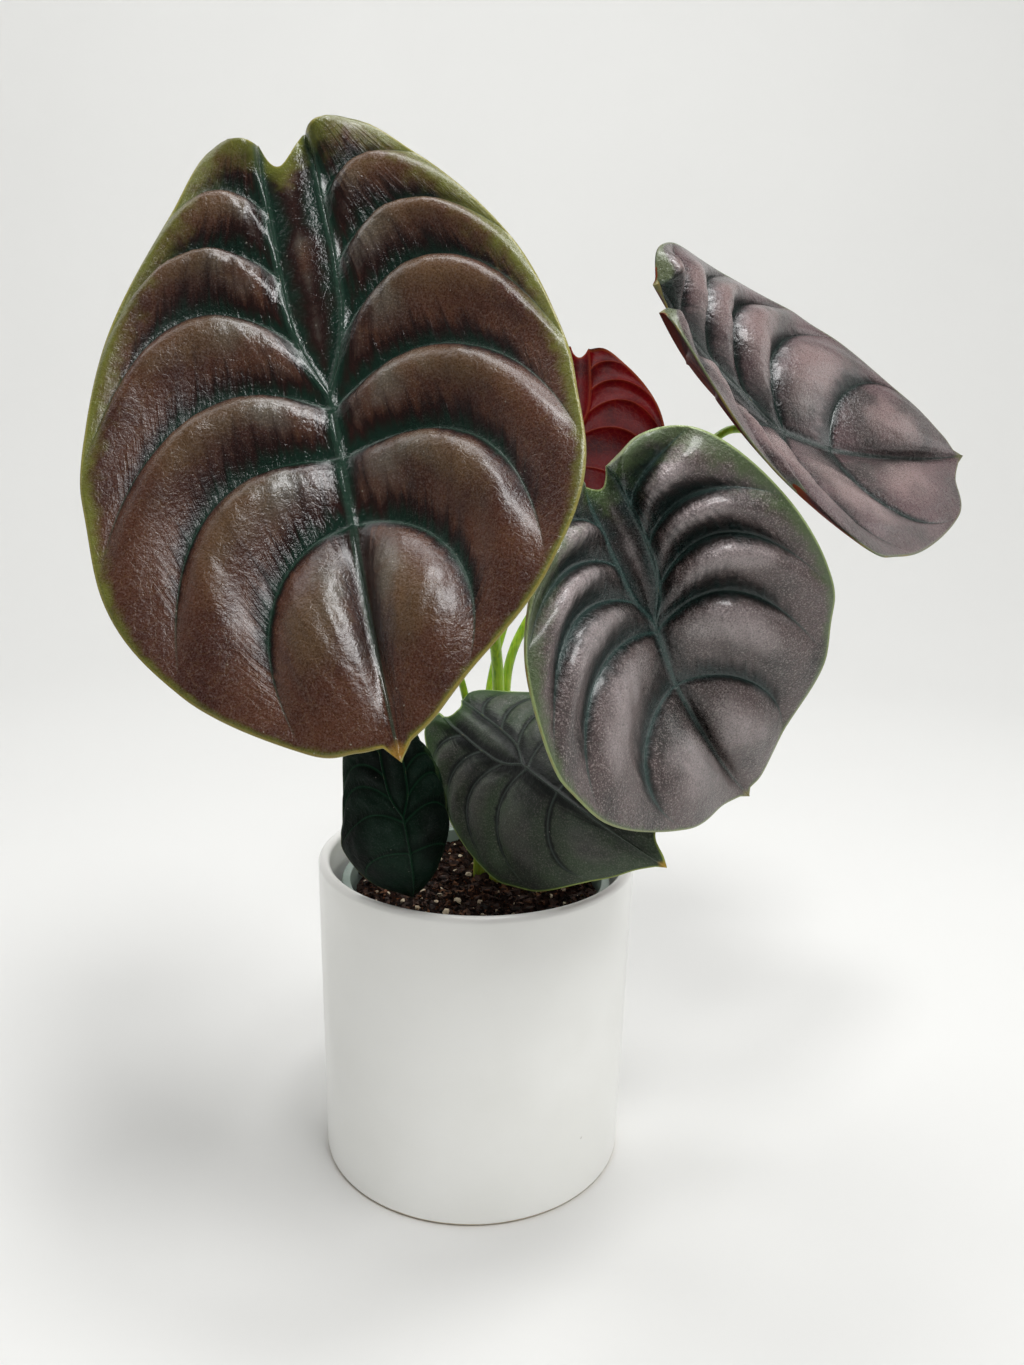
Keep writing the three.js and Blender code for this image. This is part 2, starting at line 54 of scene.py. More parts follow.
# Each half of a blade is a fan of rays from the midrib to the margin, tip first. A ray is a Bezier
# curve: q, start, first control, second control, margin point, in units of the length from the
# petiole joint to the tip. From 2 on, a whole number q is a vein, and the puffs swell between veins.
TIP_ROWS = [
    [0.0, (0, -1), (0, -1), (0, -1), (0, -1)],
    [0.15, (0, -0.93), (0.01, -0.94), (0.024, -0.95), (0.036, -0.957)],
]
LOBE_ROWS = [
    [4.0, (0.06, 0.13), (0.25, 0.33), (0.52, 0.32), (0.675, -0.1)],
    [5.0, (0.083, 0.31), (0.2, 0.46), (0.42, 0.47), (0.59, 0.22)],
    [6.0, (0.082, 0.48), (0.14, 0.58), (0.25, 0.6), (0.37, 0.545)],
    [6.6, (0.08, 0.6), (0.11, 0.65), (0.16, 0.685), (0.19, 0.69)],
    [7.0, (0.07, 0.665), (0.07, 0.665), (0.07, 0.665), (0.07, 0.665)],
]
SEVEN_VEINS = {
    "joint": 6,
    "tuned": [2, 3, 4, 5, 7, 8, 9],
    "rows": TIP_ROWS
    + [
        [1.0, (0, -0.66), (0.05, -0.7), (0.085, -0.8), (0.1, -0.935)],
        [2.0, (0, -0.38), (0.2, -0.38), (0.36, -0.6), (0.22, -0.895)],
        [3.0, (0, -0.19), (0.25, -0.12), (0.52, -0.22), (0.49, -0.7)],
        [4.0, (0, -0.045), (0.22, 0.12), (0.55, 0.08), (0.645, -0.4)],
        [4.35, (0, 0), (0.218, 0.193), (0.535, 0.185), (0.665, -0.25)],
    ]
    + [[row[0] + 1, *row[1:]] for row in LOBE_ROWS],
}
SIX_VEINS = {
    "joint": 5,
    "tuned": [2, 3, 4, 6, 7, 8],
    "rows": TIP_ROWS
    + [
        [1.0, (0, -0.6), (0.06, -0.64), (0.12, -0.78), (0.13, -0.925)],
        [2.0, (0, -0.3), (0.24, -0.27), (0.5, -0.48), (0.36, -0.81)],
        [3.0, (0, -0.045), (0.22, 0.12), (0.55, 0.08), (0.645, -0.4)],
        [3.35, (0, 0), (0.218, 0.193), (0.535, 0.185), (0.665, -0.25)],
    ]
    + LOBE_ROWS,
}
FIRST_VEIN = 2

# The panel is the strip between the lobes' first veins. Its number follows those of the halves, 0 and
# 1. PILLOW is how far it swells, and HALF_SEEDS is the step between the seeds of the two halves. The
# lumps are shares of the setting: how uneven the panel and the puffs are.
PANEL = 2
PILLOW = 0.02
HALF_SEEDS = 50
PANEL_LUMPS = 0.35
PUFF_LUMPS = 1.3

# Millimetres: the length of the leaf that the looks' widths are given for, a distance past the reach
# of every groove, and the distance below which points of two parts of a blade become one.
WHOLE_SIZE = 122
FAR = 99.0
MERGE = 0.015

# The six leaves, in millimetres and radians, or as parts of the length from the joint to the tip.
# In width, fold, curl, relief, lobe and edge the left half comes before the right half. table: the
# rays; size: that length; at: the joint; turn: the face's azimuth and elevation and the blade's spin;
# width: how far a half is drawn out; arch: the midrib's bend towards the tip and towards the lobes;
# fold and curl: a half's rise beside the midrib and its bend towards the margin; twist: the turn
# about the midrib; sway: the tip's way sideways; back: how far the lobes are drawn out; relief: the
# height of the puffs; bulge: how far their crests lean to the next vein, and how full they are (less
# is fuller); sinus: the notch's depth and skew; lobe: the shift of a lobe's end; fine: rows to a puff
# and columns to a half; edge: how far the margin is pushed out at the rows that the table tunes.
LEAVES = {
    "a": {
        "table": SEVEN_VEINS, "size": 122.3, "at": (-47.4, -77.5, 309.9), "turn": (-0.306, 0.5, 0.36),
        "width": (0.9, 0.94), "arch": (-0.14, -0.17), "fold": (0.14, -0.02), "curl": (0.38, 0.4),
        "twist": -0.11, "sway": 0.039, "back": 1.19, "relief": (0.062, 0.064), "bulge": (2.0, 0.8),
        "sinus": (0.062, 0.8), "lobe": ((0.012, -0.012), (0.02, -0.022)), "fine": (20, 56),
        "edge": (
            (0.02, 0.035, 0.04, 0.05, 0.03, 0.01, -0.02),
            (-0.01, -0.05, -0.04, -0.01, -0.02, -0.01, -0.01),
        ),
    },
    "b": {
        "table": SIX_VEINS, "size": 88.1, "at": (58.6, -62.6, 238.4), "turn": (0.659, 0, 0.418),
        "width": (1.15, 0.89), "arch": (-0.08, 0.6), "fold": (0.18, 0.5), "curl": (0.24, 0.4),
        "twist": 0.1, "sway": 0.235, "back": 0.94, "relief": (0.075, 0.085), "bulge": (1.8, 0.8),
        "sinus": (0.065, 0), "lobe": ((0, 0), (0.06, 0.015)), "fine": (20, 52),
        "edge": (
            (-0.02, -0.01, 0.01, 0.05, 0.07, -0.01),
            (-0.01, -0.07, 0.04, 0.12, 0.12, 0.1),
        ),
    },
    "c": {
        "table": SIX_VEINS, "size": 111, "at": (121.1, 34, 303.1), "turn": (0.884, 0.772, 1.127),
        "width": (0.96, 0.85), "arch": (-0.5, -0.56), "fold": (0.06, 0.5), "curl": (0.16, -0.32),
        "twist": -0.05, "sway": 0.06, "back": 1.3, "relief": (0.046, 0.08), "bulge": (1.2, 0.65),
        "sinus": (0.065, 0), "lobe": ((0, 0), (0, 0)), "fine": (20, 52),
        "edge": (
            (-0.03, -0.03, -0.05, 0.01, -0.06, 0.04),
            (-0.02, -0.08, -0.06, -0.01, 0.03, 0.05),
        ),
    },
    "d": {
        "table": SIX_VEINS, "size": 60.9, "at": (43.1, 81.9, 300.4), "turn": (3.194, -0.45, 0.049),
        "width": (0.98, 1), "arch": (0.59, -0.31), "fold": (-0.01, -0.02), "curl": (-0.34, -0.3),
        "twist": -0.09, "sway": -0.011, "back": 1.1, "relief": (0.024, 0.024), "bulge": (1.2, 0.95),
        "sinus": (0.065, 0), "lobe": ((0, 0), (0, 0)), "fine": (16, 44),
        "edge": (
            (0, 0, 0, 0, 0.01, 0),
            (0, 0, 0, 0, 0, 0),
        ),
    },
    "e": {
        "table": SIX_VEINS, "size": 68.4, "at": (16.8, -36.1, 178.9), "turn": (-0.851, 0.701, 1.325),
        "width": (0.98, 1), "arch": (0.77, -0.39), "fold": (-0.36, -0.22), "curl": (-0.38, -0.39),
        "twist": -0.4, "sway": 0.06, "back": 1.03, "relief": (0.026, 0.026), "bulge": (1.3, 0.9),
        "sinus": (0.05, 0), "lobe": ((0, 0.05), (0, 0)), "fine": (16, 44),
        "edge": (
            (-0.03, -0.06, -0.01, 0.02, 0.01, -0.02),
            (-0.08, -0.02, 0, 0, 0, -0.02),
        ),
    },
    "f": {
        "table": SIX_VEINS, "size": 46.9, "at": (-26.4, -58.4, 165.8), "turn": (0.133, 0.21, 0.186),
        "width": (0.99, 0.99), "arch": (1.3, -0.13), "fold": (-0.42, -0.31), "curl": (-0.9, -1.59),
        "twist": 0.09, "sway": -0.039, "back": 1.06, "relief": (0.03, 0.03), "bulge": (1.3, 0.9),
        "sinus": (0.065, 0), "lobe": ((0, 0), (0, 0)), "fine": (16, 40),
        "edge": (
            (-0.04, 0.03, 0.02, -0.03, -0.05, 0.05),
            (-0.02, -0.1, -0.15, -0.2, -0.17, -0.12),
        ),
    },
}

# The petioles: the radius at the foot and at the blade and the points from the mix to the joint, in
# millimetres, and the share of the length that the sheath goes up.
PETIOLES = {
    "a": {
        "radius": (3.1, 2),
        "sheath": 0.36,
        "path": [
            (7, 12, 112), (8.6, 13, 161.2), (7.9, 12.5, 196), (6.8, 10, 210.4), (2.8, -2, 235.8),
            (-9.7, -32, 269.2), (-35.6, -53.1, 285.4), (-44, -69, 302.6),
        ],
    },
    "b": {
        "radius": (2.4, 1.7),
        "sheath": 0.3,
        "path": [
            (14, 11, 112), (24, 13, 150), (42, 6, 192), (46.8, -47, 226.4), (54.3, -57.1, 235.4),
        ],
    },
    "c": {
        "radius": (2.5, 1.7),
        "sheath": 0.25,
        "path": [
            (9.5, 19, 112), (10.7, 21, 158.7), (10.9, 21.5, 189.5), (12.6, 21.5, 206.4),
            (18.2, 22.5, 220.8), (38.8, 26, 250.9), (69.7, 33, 278.6), (93.7, 38, 297),
            (103.5, 41, 303), (112.5, 39.5, 303),
        ],
    },
    "d": {
        "radius": (2, 1.3),
        "sheath": 0.2,
        "path": [
            (2.5, 17.5, 112), (2.5, 21, 158.5), (3.7, 26, 188.3), (5.7, 29, 201.6),
            (10.9, 32, 221.1), (23, 47, 254.7), (35, 60, 285), (42.6, 71.2, 300.7),
        ],
    },
    "e": {
        "radius": (2, 1.4),
        "sheath": 0.4,
        "path": [
            (7.5, 4.5, 112), (10, -3, 140), (14, -14, 160), (23.7, -28, 163.2), (20.3, -33, 173.1),
        ],
    },
    "f": {
        "radius": (2, 1.3),
        "sheath": 0.25,
        "path": [
            (1, 9.5, 112), (0.4, 10, 162), (-5, 8.5, 190.4), (-7.5, 6, 201.5), (-12.3, -1, 216.1),
            (-17.9, -10, 224.9), (-23.2, -19, 220.7), (-29.8, -33.2, 202.4), (-28.7, -41.9, 180.2),
            (-27.5, -50.6, 168.1),
        ],
    },
}

# Millimetres: how deep the petioles go into the mix and how far behind the blade they end. Then the
# points along a petiole, and the degrees that a sheath goes round to each side.
ROOT_DEPTH = 12
JOINT_DEPTH = 1.4
STALK_ROWS = 120
WRAP = 150

# Millimetres: the height of the mix, the place of the mound round the petioles' feet, the gap
# between the pots and the mix, how much wider the mix is at its top than at its bottom, and the
# height at which its side begins.
SOIL_TOP = 114
CROWN = (7, 12)
GAP = 0.3
MIX_FLARE = 9.35
MIX_SIDE = 110

# Grains to a square metre before the least spacing thins them out.
MOST_GRAINS = 400000.0

# The drain holes: their number, and in metres the radius of their ring and of one of them.
DRAIN_HOLES = 6
DRAIN_RING = 0.027
DRAIN_RADIUS = 0.004

# The camera, fitted to the photograph: yaw, pitch and roll in radians, the place in metres, the focal
# length and the frame's height in pixels, and the sensor's length in millimetres.
CAMERA_TURN = (0.0303, 0.2295, 0.0229)
CAMERA_AT = (0, -0.42993, 0.30267)
FOCAL_PIXELS = 1100
FRAME_HEIGHT = 1365
SENSOR = 36


def tint(code):
    """A colour written as in a web page, made linear."""
    parts = [int(code[i : i + 2], 16) / 255 for i in (1, 3, 5)]
    return tuple(p / 12.92 if p < 0.04045 else ((p + 0.055) / 1.055) ** 2.4 for p in parts)


def colour(name, description, code):
    return FloatVectorProperty(
        name=name, description=description, subtype="COLOR", size=3, min=0, max=1, default=tint(code)
    )


def length(name, description, default):
    return FloatProperty(
        name=name, description=description, subtype="DISTANCE", unit="LENGTH", min=0, default=default
    )


def power(name, description, default):
    return FloatProperty(name=name, description=description, subtype="POWER", min=0, default=default)


class PotSettings(bpy.types.PropertyGroup):
    """Sizes and colours of the two pots."""

    rim_radius: length("Rim radius", "Outer radius of the cover pot's lip", 0.065)
    foot_radius: length("Foot radius", "Outer radius of the cover pot's foot", 0.063)
    height: length("Height", "Height of the cover pot", 0.13)
    wall: length("Wall", "Thickness of the cover pot's wall", 0.0046)
    floor: length("Floor", "Thickness of the cover pot's bottom", 0.006)
    nursery_radius: length("Nursery radius", "Radius of the nursery pot's rim", 0.0555)
    nursery_foot: length("Nursery foot", "Radius of the nursery pot's bottom", 0.042)
    nursery_top: length("Nursery top", "Height of the nursery pot's rim", 0.12)
    nursery_rim: length("Nursery rim", "Depth of the nursery pot's rim", 0.006)
    nursery_wall: length("Nursery wall", "Thickness of the nursery pot", 0.0011)
    segments: IntProperty(name="Segments", description="Faces round a pot", default=144, min=24)
    glaze: colour("Glaze", "Satin white glaze", "#fafaf7")
    bisque: colour("Bisque", "Bare clay under the foot", "#c9b89c")
    plastic: colour("Plastic", "Translucent nursery pot", "#a9bab2")


class MixSettings(bpy.types.PropertyGroup):
    """Sizes and colours of the potting mix."""

    perlite_spacing: length("Perlite spacing", "Least distance between grains", 0.0074)
    perlite_size: length("Perlite size", "Mean radius of a grain", 0.00064)
    chip_spacing: length("Chip spacing", "Least distance between bark chips", 0.0031)
    chip_size: length("Chip size", "Mean half length of a chip", 0.0019)
    crumb_spacing: length("Crumb spacing", "Least distance between peat crumbs", 0.00165)
    crumb_size: length("Crumb size", "Mean radius of a crumb", 0.00085)
    seed: IntProperty(name="Seed", description="Order of the grains", default=7)
    peat: colour("Peat", "Damp peat", "#130906")
    bark: colour("Bark", "Bark chips", "#3d2213")
    perlite: colour("Perlite", "Grains of perlite", "#d8c8ad")


class BladeSettings(bpy.types.PropertyGroup):
    """Sizes and colours of the six blades."""

    thickness: length("Thickness", "Thickness of a blade", 0.0007)
    midrib: length("Midrib", "Height of the midrib over its groove", 0.0009)
    vein: length("Vein", "Height of a side vein over its groove", 0.00025)
    pucker: length("Pucker", "Height of the wrinkles beside the veins", 0.0002)
    lump: length("Lump", "Height of the uneven swellings on the puffs", 0.0007)
    # Each groove colour is the leaf's dark green at its veins and also the painted shade beside them
    # and along the midrib.
    a_puff: colour("Leaf A puffs", "Coppery brown puffs", "#4f2f20")
    a_groove: colour("Leaf A grooves", "Dark green beside the veins", "#0e241b")
    a_border: colour("Leaf A border", "Olive margin", "#666a2b")
    b_puff: colour("Leaf B puffs", "Silvery mauve puffs", "#594a49")
    b_groove: colour("Leaf B grooves", "Dark teal beside the veins", "#152725")
    b_border: colour("Leaf B border", "Green margin", "#4f6339")
    c_puff: colour("Leaf C puffs", "Mauve puffs", "#5c4648")
    c_groove: colour("Leaf C grooves", "Dark teal beside the veins", "#12201d")
    c_border: colour("Leaf C border", "Green margin", "#3a4236")
    d_puff: colour("Leaf D puffs", "Coppery puffs", "#6a4b44")
    d_groove: colour("Leaf D grooves", "Dark green beside the veins", "#0d1a14")
    d_border: colour("Leaf D border", "Olive margin", "#66702f")
    e_puff: colour("Leaf E puffs", "Grey green puffs", "#3c4a37")
    e_groove: colour("Leaf E grooves", "Nearly black green", "#070d0b")
    e_border: colour("Leaf E border", "Green margin", "#38522b")
    f_puff: colour("Leaf F puffs", "Very dark green puffs", "#0e2419")
    f_groove: colour("Leaf F grooves", "Nearly black green", "#060f0b")
    f_border: colour("Leaf F border", "Green margin", "#1c2f1a")
    back_vein: colour("Underside veins", "Orange veins of the underside", "#7a2f18")


class PetioleSettings(bpy.types.PropertyGroup):
    """Sizes and colours of the petioles."""

    sides: IntProperty(name="Sides", description="Faces round a petiole", default=24, min=6)
    sheath: length("Sheath", "Thickness of the sheath round a petiole's foot", 0.0005)
    lime: colour("Lime", "Petiole colour", "#9cc02c")
    shade: colour("Shade", "Darker streaks", "#6f9a24")


class StageSettings(bpy.types.PropertyGroup):
    """Floor and light."""

    paper: colour("Paper", "Pale floor and backdrop", "#e4e4e2")
    radius: length("Radius", "Flat part of the floor", 0.95)
    top: power("Top", "Light above and in front", 9.2)
    crown: power("Crown", "Small light straight above", 5)
    side: power("Side", "Large low light on the right", 1.7)
    fill: power("Fill", "Weak light on the left, behind", 1.8)
    wash: power("Wash", "Light on the backdrop", 15.5)
    room: FloatProperty(name="Room", description="Strength of the room's light", default=0.08, min=0)


class PlantSettings(bpy.types.PropertyGroup):
    """All the settings of the plant."""

    pot: PointerProperty(type=PotSettings)
    mix: PointerProperty(type=MixSettings)
    blade: PointerProperty(type=BladeSettings)
    petiole: PointerProperty(type=PetioleSettings)
    stage: PointerProperty(type=StageSettings)


class Graph:
    """Adds and links the nodes of one node tree."""

    def __init__(self, tree):
        self.tree = tree

    def node(self, kind, inputs=None, **settings):
        node = self.tree.nodes.new(kind)
        for key, value in settings.items():
            setattr(node, key, value)
        for key, value in (inputs or {}).items():
            self.feed(node.inputs[key], value)
        return node

    def feed(self, socket, value):
        if isinstance(value, bpy.types.NodeSocket):
            self.tree.links.new(value, socket)
        elif socket.type == "RGBA":
            socket.default_value = (*value[:3], 1)
        else:
            socket.default_value = value

    def math(self, operation, a, b=0.0, c=0.0):
        return self.node("ShaderNodeMath", {0: a, 1: b, 2: c}, operation=operation).outputs[0]

    def vector(self, operation, a, b):
        return self.node("ShaderNodeVectorMath", {0: a, 1: b}, operation=operation).outputs[0]

    def scaled(self, a, factor):
        inputs = {0: a, "Scale": factor}
        return self.node("ShaderNodeVectorMath", inputs, operation="SCALE").outputs[0]

    def axis(self, where, index):
        return self.node("ShaderNodeSeparateXYZ", {0: where}).outputs[index]

    def blend(self, factor, a, b):
        node = self.node("ShaderNodeMix", data_type="RGBA", clamp_factor=True)
        for index, value in ((0, factor), (6, a), (7, b)):
            self.feed(node.inputs[index], value)
        return node.outputs[2]

    def step(self, value, low, high, to_low=0.0, to_high=1.0):
        node = self.node(
            "ShaderNodeMapRange",
            {0: value, 1: low, 2: high, 3: to_low, 4: to_high},
            interpolation_type="SMOOTHSTEP",
        )
        return node.outputs[0]

    def noise(self, where, scale, detail=2.0, rough=0.5, distortion=0.0):
        node = self.node(
            "ShaderNodeTexNoise",
            {
                "Vector": where,
                "Scale": scale,
                "Detail": detail,
                "Roughness": rough,
                "Distortion": distortion,
            },
        )
        return node.outputs[0]

    def cells(self, where, scale, feature="DISTANCE_TO_EDGE"):
        node = self.node("ShaderNodeTexVoronoi", {"Vector": where, "Scale": scale}, feature=feature)
        return node.outputs[0]

    def scatter(self, where, scale, amount):
        """An uneven shift, as far as half the amount each way."""
        cloud = self.node("ShaderNodeTexNoise", {"Vector": where, "Scale": scale, "Detail": 1.0})
        return self.scaled(self.vector("SUBTRACT", cloud.outputs["Color"], (0.5, 0.5, 0.5)), amount)

    def warp(self, where, scale, amount):
        """The place, shifted unevenly."""
        return self.vector("ADD", where, self.scatter(where, scale, amount))

    def stretch(self, where, scale):
        return self.node("ShaderNodeMapping", {"Vector": where, "Scale": scale}).outputs[0]

    def bump(self, height, distance, normal=None):
        inputs = {"Height": height, "Distance": distance, "Strength": 1.0}
        if normal is not None:
            inputs["Normal"] = normal
        return self.node("ShaderNodeBump", inputs).outputs[0]

    def attribute(self, name):
        return self.node("ShaderNodeAttribute", attribute_name=name).outputs["Fac"]


def finish(name, dress):
    """A material whose shader is filled in by dress(graph, place, shader)."""
    material = bpy.data.materials.new(name)
    material.use_nodes = True
    graph = Graph(material.node_tree)
    graph.tree.nodes.clear()
    shader = graph.node("ShaderNodeBsdfPrincipled")
    output = graph.node("ShaderNodeOutputMaterial")
    graph.tree.links.new(shader.outputs[0], output.inputs[0])
    place = graph.node("ShaderNodeTexCoord").outputs["Object"]
    dress(graph, place, shader)
    return material


def wear(graph, shader, **values):
    """Sets or links the shader's sockets, named in lower case."""
    for key, value in values.items():
        graph.feed(shader.inputs[key.replace("_", " ").title().replace("Ior", "IOR")], value)


def glaze_finish(settings):
    """Satin white glaze with a few specks, down to a line of bare clay."""

    def dress(graph, place, shader):
        cloud = graph.noise(place, 14, 3)
        body = graph.blend(graph.step(cloud, 0.35, 0.7), settings.glaze, tint("#f4f4f0"))
        specks = graph.step(graph.cells(place, 62, "F1"), 0.035, 0.055)
        rare = graph.step(graph.noise(place, 31, 0), 0.66, 0.69)
        speck = graph.math("MULTIPLY", graph.math("SUBTRACT", 1.0, specks), rare)
        body = graph.blend(graph.math("MULTIPLY", speck, 0.6), body, tint("#8c8578"))
        height = graph.axis(place, 2)
        wobble = graph.math("MULTIPLY", graph.noise(place, 60, 2), 0.0008)
        line = graph.step(graph.math("ADD", height, wobble), 0.0012, 0.0019)
        body = graph.blend(line, settings.bisque, body)
        skin = graph.bump(graph.noise(place, 45, 2), 0.0004)
        skin = graph.bump(graph.noise(place, 420, 2), 0.00003, skin)
        wear(graph, shader, base_color=body, normal=skin)
        wear(graph, shader, roughness=graph.step(line, 0, 1, 0.75, 0.3))
        wear(graph, shader, coat_weight=0.25, coat_roughness=0.12)

    return finish("satin_glaze", dress)


def plastic_finish(settings):
    """Cloudy translucent plastic with a little dust on it."""

    def dress(graph, place, shader):
        cloud = graph.noise(place, 40, 3)
        body = graph.blend(graph.step(cloud, 0.3, 0.75), settings.plastic, tint("#8fa298"))
        dust = graph.step(graph.noise(place, 900, 2), 0.6, 0.75)
        body = graph.blend(graph.math("MULTIPLY", dust, 0.3), body, tint("#5a4a3c"))
        skin = graph.bump(graph.noise(graph.stretch(place, (1, 1, 9)), 60, 2), 0.0002)
        wear(graph, shader, base_color=body, roughness=graph.step(cloud, 0, 1, 0.25, 0.45))
        wear(graph, shader, normal=skin, transmission_weight=0.3)

    return finish("translucent_plastic", dress)


def peat_finish(settings):
    """Damp, crumbly peat with brown and pale flecks."""

    def dress(graph, place, shader):
        clump = graph.noise(place, 160, 4, 0.65)
        body = graph.blend(graph.step(clump, 0.42, 0.72), settings.peat, tint("#2c170e"))
        fleck = graph.step(graph.noise(place, 700, 2), 0.6, 0.68)
        body = graph.blend(graph.math("MULTIPLY", fleck, 0.55), body, tint("#7c4a28"))
        dust = graph.step(graph.cells(place, 520, "F1"), 0.1, 0.16, 1.0, 0.0)
        rare = graph.step(graph.noise(place, 300, 1), 0.66, 0.7)
        body = graph.blend(graph.math("MULTIPLY", dust, rare), body, tint("#b9ab98"))
        skin = graph.bump(graph.noise(place, 700, 4, 0.7), 0.0009)
        wear(graph, shader, base_color=body, roughness=0.95, normal=skin)
        wear(graph, shader, specular_ior_level=0.15)

    return finish("damp_peat", dress)


def bark_finish(settings):
    """Grained bark, lighter and darker in patches."""

    def dress(graph, place, shader):
        grain = graph.noise(graph.stretch(place, (1, 1, 3)), 420, 3)
        body = graph.blend(graph.step(grain, 0.35, 0.65), tint("#24140c"), settings.bark)
        patch = graph.noise(place, 190, 1)
        body = graph.blend(graph.step(patch, 0.55, 0.68), body, tint("#6b4429"))
        body = graph.blend(graph.step(patch, 0.42, 0.3), body, tint("#160d08"))
        skin = graph.bump(grain, 0.0003)
        wear(graph, shader, base_color=body, roughness=0.85, normal=skin)

    return finish("bark_chips", dress)


def perlite_finish(settings):
    """Stained and pitted perlite."""

    def dress(graph, place, shader):
        stain = graph.noise(place, 260, 3)
        body = graph.blend(graph.step(stain, 0.5, 0.75), settings.perlite, tint("#9b7f60"))
        pores = graph.cells(place, 1500, "F1")
        body = graph.blend(graph.step(pores, 0.15, 0.4, 0.4, 0.0), body, tint("#8c7a66"))
        skin = graph.bump(pores, 0.00025)
        wear(graph, shader, base_color=body, roughness=0.9, normal=skin)

    return finish("perlite_grains", dress)


def petiole_finish(settings):
    """Lime green with darker streaks, duller at the foot."""

    def dress(graph, place, shader):
        streaks = graph.noise(graph.stretch(place, (1, 1, 0.06)), 1100, 2)
        body = graph.blend(graph.step(streaks, 0.35, 0.75), settings.lime, settings.shade)
        mottle = graph.noise(place, 130, 3)
        body = graph.blend(graph.step(mottle, 0.5, 0.8, 0.0, 0.5), body, tint("#b8d64a"))
        height = graph.axis(place, 2)
        low = graph.step(height, 0.112, 0.15, 1.0, 0.0)
        body = graph.blend(graph.math("MULTIPLY", low, 0.55), body, tint("#8a8a3c"))
        skin = graph.bump(streaks, 0.00012)
        wear(graph, shader, base_color=body, roughness=0.38, normal=skin)
        wear(graph, shader, subsurface_weight=0.25, subsurface_scale=0.002)

    return finish("lime_petiole", dress)


class Patterns:
    """The uneven patterns that the colours and the relief of an upper face share."""

    def __init__(self, graph, place):
        self.place = place
        ray = graph.node("ShaderNodeUVMap", uv_map="rays").outputs[0]
        self.from_tip = graph.axis(ray, 0)
        self.along = graph.axis(ray, 1)
        self.across = graph.noise(graph.stretch(ray, (1.2, 26, 1)), 1.0, 4, 0.6, 0.4)
        self.cloud = graph.noise(place, 38, 3, 0.55)
        self.grain = graph.noise(place, 1700, 2, 0.65)
        self.patch = graph.math("MULTIPLY_ADD", graph.noise(place, 90, 3), 0.7, -0.35)
        hairs = graph.cells(graph.warp(place, 150, 0.006), 230)
        self.lines = graph.step(hairs, 0.0, 0.06, 1.0, 0.0)


def puff_colour_and_highlights(graph, pattern, puff, look):
    """Mottled puffs, painted pale crowns, a painted cool sheen near the midrib, specks, pits and fine
    lines.
    """
    rise = graph.attribute("rise")
    body = graph.blend(graph.step(pattern.cloud, 0.38, 0.68), puff, tint(look["mottle"]))
    # Painted highlight: paler crowns on the high puffs, partly the leaf's own silvery tint.
    top = graph.step(graph.math("ADD", rise, pattern.patch), 0.45, 1.0)
    body = graph.blend(graph.math("MULTIPLY", top, look["top"]), body, tint(look["crown"]))
    # Painted sheen: cool grey-green glints on the high puffs near the midrib, partly the leaf's
    # metallic tint.
    glaze = graph.math("MULTIPLY", graph.step(pattern.along, 0.1, 0.5, 1.0, 0.0), rise)
    glaze = graph.math("MULTIPLY", glaze, graph.step(pattern.patch, -0.1, 0.08, 0.1, look["glaze"]))
    body = graph.blend(glaze, body, tint("#6d7c78"))
    specks = graph.step(pattern.grain, 0.5, 0.72, 0.0, look["speck"])
    body = graph.blend(specks, body, tint("#b8aca8"))
    pits = graph.step(pattern.grain, 0.48, 0.3, 0.0, 0.25 + 0.5 * look["speck"])
    body = graph.blend(pits, body, tint("#1b1512"))
    return graph.blend(graph.math("MULTIPLY", pattern.lines, look["net"]), body, tint(look["line"]))


def groove_and_shade_colour(graph, pattern, body, groove, look):
    """Dark grooves with painted shade beside them and along the midrib, drawn over the puffs with
    ragged sides.
    """
    ragged = graph.math("MULTIPLY_ADD", pattern.across, look["ragged"], -0.5 * look["ragged"])
    dark = graph.math("ADD", graph.attribute("groove"), ragged)
    dark = graph.math("ADD", dark, graph.math("MULTIPLY_ADD", pattern.cloud, 0.5, -0.25))
    # Painted shade: a dark wash beside the grooves and along the midrib, the groove colour where
    # deepest.
    painted_shade = graph.step(dark, 0.1, 0.6, 0.0, look["shade"])
    body = graph.blend(painted_shade, body, tint(look["painted_shade"]))
    return graph.blend(graph.step(dark, 0.5, 0.95, 0.0, look["shade"]), body, groove)


def margin_colour(graph, pattern, body, border, look):
    """The green margin, the line along the edge, the veins, the dry tip and a little dust."""
    reach = graph.math("MULTIPLY_ADD", graph.noise(pattern.place, 210, 3), 0.8, -0.4)
    margin = graph.math("ADD", graph.attribute("border"), reach)
    body = graph.blend(graph.step(margin, 0.25, 0.95, 0.0, look["margin"]), body, border)
    rim = graph.step(graph.attribute("edge"), 0.25, 0.85, 0.9, 0.0)
    up = graph.step(pattern.from_tip, 1.5, 5.0)
    body = graph.blend(rim, body, graph.blend(up, tint(look["rim_low"]), tint(look["rim"])))
    vein = graph.math("MULTIPLY", graph.attribute("vein"), look["vein_mix"])
    body = graph.blend(vein, body, tint(look["vein"]))
    tip = graph.step(pattern.from_tip, 0.05, 0.14, 0.9, 0.0)
    body = graph.blend(tip, body, tint(look["tip"]))
    dust = graph.step(graph.cells(pattern.place, 260, "F1"), 0.05, 0.08, 1.0, 0.0)
    sparse = graph.step(graph.noise(pattern.place, 90, 0), 0.56, 0.6, 0.0, 3.5 * look["net"])
    return graph.blend(graph.math("MULTIPLY", dust, sparse), body, tint("#c2c0b2"))


